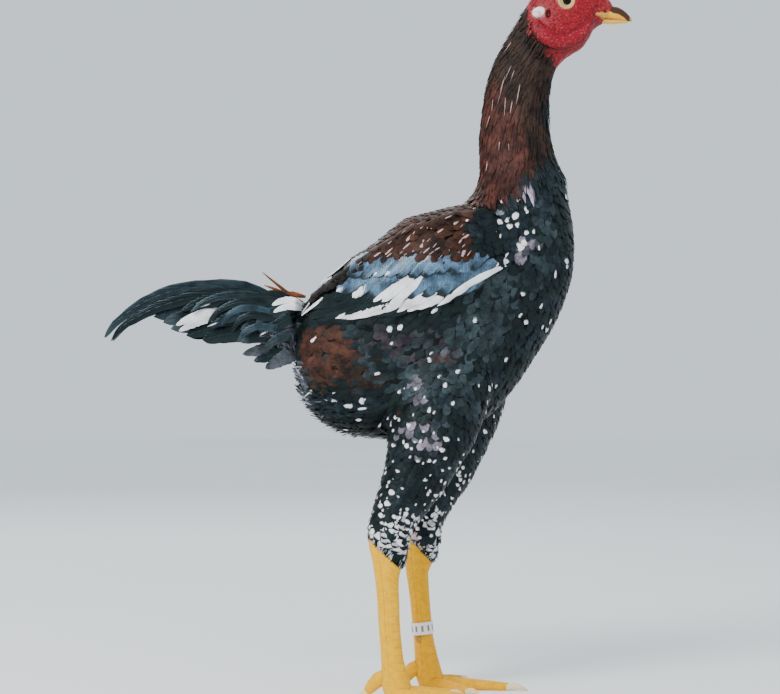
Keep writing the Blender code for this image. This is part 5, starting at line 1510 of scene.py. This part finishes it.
def bill_finish():
    """Grained yellow horn, paler at the point, dark where the piece says so."""
    made = Finish("bill_horn", (0.08, 0.002, 0.001, 0.0005), Coat_Weight=0.03, Coat_Roughness=0.25,
                  Specular_IOR_Level=0.26, Specular_Tint=(1.0, 0.78, 0.6))
    grainy = made.noise(900.0, 4.0, 0.6, (0.25, 1.0, 1.0))
    dark = made.attribute("dark") + (grainy - 0.5) * 0.5
    own = made.mix(grainy.ramp(0.3, 0.7), (0.80, 0.38, 0.012), (0.86, 0.50, 0.045))
    own = made.mix(made.attribute("along").ramp(0.6, 1.0, 0.0, 0.4), own, (0.80, 0.54, 0.12))
    own = made.mix(dark.ramp(0.3, 0.7, 0.0, 0.97), own, (0.030, 0.006, 0.011))
    return made.finish(own, grainy.ramp(0.3, 0.7, 0.30, 0.45), grainy, 0.2, 0.0003)


def claw_finish(name, bright, pale, end):
    """Horn of claws and spurs, with another colour towards the point."""
    made = Finish(name, (0.1, 0.002, 0.001, 0.0008), Coat_Weight=0.2, Coat_Roughness=0.2)
    grainy = made.noise(1400.0, 4.0, 0.6, (0.3, 0.6, 1.6))
    own = made.mix(grainy.ramp(0.3, 0.7), bright, pale)
    own = made.mix(made.attribute("along").ramp(0.5, 1.0, 0.0, 0.55), own, end)
    return made.finish(own, grainy.ramp(0.3, 0.7, 0.3, 0.45), grainy, 0.25, 0.0003)


def scale_finish(name, bright, deep):
    """Waxy scales with darker grooves and small scales between the scutes."""
    made = Finish(name, Specular_IOR_Level=0.2, Specular_Tint=(1.0, 0.72, 0.25),
                  Coat_Weight=0.03, Coat_Roughness=0.2, Coat_Tint=(1.0, 0.8, 0.4))
    mottle = made.noise(260.0, 4.0, 0.6)
    small = made.node("ShaderNodeTexVoronoi", "Distance", {
        "Vector": made.node("ShaderNodeTexCoord", "Object", {}), "Scale": 620.0}, feature="DISTANCE_TO_EDGE")
    own = made.mix(mottle.ramp(0.3, 0.7), bright, deep)
    own = made.mix(made.attribute("groove").ramp(0.35, 0.95, 0.0, 0.42), own, (0.30, 0.115, 0.001))
    own = made.mix(small.ramp(0.0, 0.08, 0.15, 0.0), own, (0.36, 0.15, 0.001))
    own = made.mix(made.noise(90.0, 5.0).ramp(0.6, 0.85) * 0.25, own, (0.80, 0.52, 0.04))
    height = small.ramp(0.0, 0.12) + mottle * 0.6
    return made.finish(own, mottle.ramp(0.3, 0.7, 0.38, 0.58), height, 0.3, 0.0003)


def eye_finish():
    """A pale yellow iris round a black pupil."""
    made = Finish("eye", Coat_Weight=0.1, Coat_Roughness=0.02, Specular_IOR_Level=0.08)
    ring, fibres = made.attribute("ring"), made.noise(1500.0, 3.0)
    own = made.mix(fibres.ramp(0.35, 0.65), (0.22, 0.19, 0.06), (0.44, 0.38, 0.16))
    own = made.mix(ring.ramp(2.8, 3.1, 1.0, 0.0), own, (0.0012, 0.0012, 0.0012))
    own = made.mix(ring.ramp(3.9, 4.5), own, (0.05, 0.03, 0.02))
    return made.finish(own, ring.ramp(2.6, 3.0, 0.08, 0.2), fibres, 0.05, 0.0002)


def ring_finish():
    """White plastic with plain dark bars and scuffs."""
    made = Finish("ring_plastic", Coat_Weight=0.3, Coat_Roughness=0.15)
    level, scuff = made.attribute("level"), made.noise(1200.0, 4.0, 0.6)
    bars = made.calc("SINE", made.attribute("turn") * 11.0).ramp(0.35, 0.5)
    mark = bars * (level.ramp(-0.26, -0.22) * level.ramp(0.22, 0.26, 1.0, 0.0))
    own = made.mix(scuff.ramp(0.45, 0.7), (0.80, 0.81, 0.82), (0.66, 0.66, 0.64))
    own = made.mix(mark * 0.85, own, (0.05, 0.05, 0.06))
    return made.finish(own, scuff.ramp(0.3, 0.7, 0.25, 0.45), scuff, 0.1, 0.0002)


# Stage, in metres

CAMERA, SENSOR, FOCAL = (0.015, -1.8, 0.2429), 36.0, 118.7
SKY, SKY_STRENGTH = (0.60, 0.675, 0.72), 1.41
BREAST = (0.02, 0.0, 0.26)  # where the lights point
# Each light's name, place, size, watts and colour.
LIGHTS = [
    ("key", (-0.9, -1.5, 1.5), 0.8, 44.0, (1.0, 0.98, 0.95)),
    ("fill", (1.6, -1.3, 0.8), 1.4, 4.0, (0.92, 0.96, 1.0)),
    ("back", (-0.5, 1.6, 1.4), 1.2, 10.0, (0.95, 0.98, 1.0)),
]


def make_stage():
    """A plain pale floor, soft studio light and the camera beside the bird."""
    floor = Finish("floor")
    floor.finish(floor.mix(floor.noise(1.2, 3.0).ramp(0.3, 0.7), (0.90, 0.91, 0.91), (0.93, 0.94, 0.94)), 0.85)
    shape = bmesh.new()
    bmesh.ops.create_circle(shape, cap_ends=True, segments=96, radius=5.0)
    piece = added("floor", cast(shape, "floor"))
    piece.data.materials.append(floor.material)
    world = bpy.data.worlds.new("studio")
    world.use_nodes = True
    sky = world.node_tree.nodes["Background"].inputs
    sky["Color"].default_value, sky["Strength"].default_value = (*SKY, 1.0), SKY_STRENGTH
    bpy.context.scene.world = world
    for name, place, size, power, colour in LIGHTS:
        light = bpy.data.lights.new(name, "AREA")
        light.shape, light.size, light.energy, light.color = "SQUARE", size, power, colour
        lamp = added(name, light)
        lamp.location = place
        lamp.rotation_euler = (Vector(BREAST) - Vector(place)).to_track_quat("-Z", "Y").to_euler()
    lens = bpy.data.cameras.new("camera")
    lens.sensor_width, lens.lens = SENSOR, FOCAL
    camera = added("camera", lens)
    camera.location, camera.rotation_euler = CAMERA, (math.pi / 2, 0.0, 0.0)
    bpy.context.scene.camera = camera


# The pieces are made in this order because all random draws come from one row of numbers.
make_stage()
barbs = barbs_group()
plumes = {
    "dark": feather_finish(
        "dark_plumage", barbs, (0.02, 0.03, 0.04), (0.32, 0.5), (1.0, 1.0), Specular_IOR_Level=0.2,
        Specular_Tint=(0.7, 0.88, 1.0), Sheen_Weight=0.02, Sheen_Roughness=0.35, Sheen_Tint=(0.35, 0.62, 0.75)),
    "gloss": feather_finish(
        "wing_plumage", barbs, (0.02, 0.03, 0.04), (0.18, 0.36), (1.0, 1.0), Specular_IOR_Level=0.42,
        Specular_Tint=(0.7, 0.88, 1.0)),
    "tail": feather_finish(
        "tail_plumage", barbs, (0.012, 0.02, 0.026), (0.12, 0.3), (1.0, 1.0), Specular_IOR_Level=0.3,
        Specular_Tint=(0.62, 0.86, 1.0)),
    "chestnut": feather_finish(
        "chestnut_plumage", barbs, (0.07, 0.035, 0.028), (0.4, 0.55), (2.4, 0.5), Specular_IOR_Level=0.14,
        Sheen_Weight=0.02, Sheen_Roughness=0.4, Sheen_Tint=(0.75, 0.45, 0.38)),
}
skin = make_skin(face_finish(), under_finish())
make_body_feathers()
make_hackles()
for name, side in SIDES.items():
    make_thigh_feathers(name)
    make_wing(name, side)
make_tail()
make_tail_base()
make_down()
make_bill(bill_finish())
for make, finish in ((make_eye, eye_finish()), (make_lobe, lobe_finish())):
    for name, side in SIDES.items():
        make(name, side, finish)
# Painted shade: the far leg's scales are the near leg's colours, painted darker.
scales = {"right": scale_finish("near_scales", (0.90, 0.49, 0.0), (0.80, 0.39, 0.0)),
          "left": scale_finish("far_scales_shaded", (0.84, 0.43, 0.0), (0.72, 0.33, 0.0))}
claws = claw_finish("claw_horn", (0.74, 0.56, 0.27), (0.84, 0.72, 0.48), (0.52, 0.40, 0.26))
spurs = claw_finish("spur_horn", (0.55, 0.22, 0.008), (0.66, 0.32, 0.02), (0.30, 0.12, 0.01))
for name in SIDES:
    make_leg(name, scales[name], claws, spurs)
make_leg_ring(ring_finish())
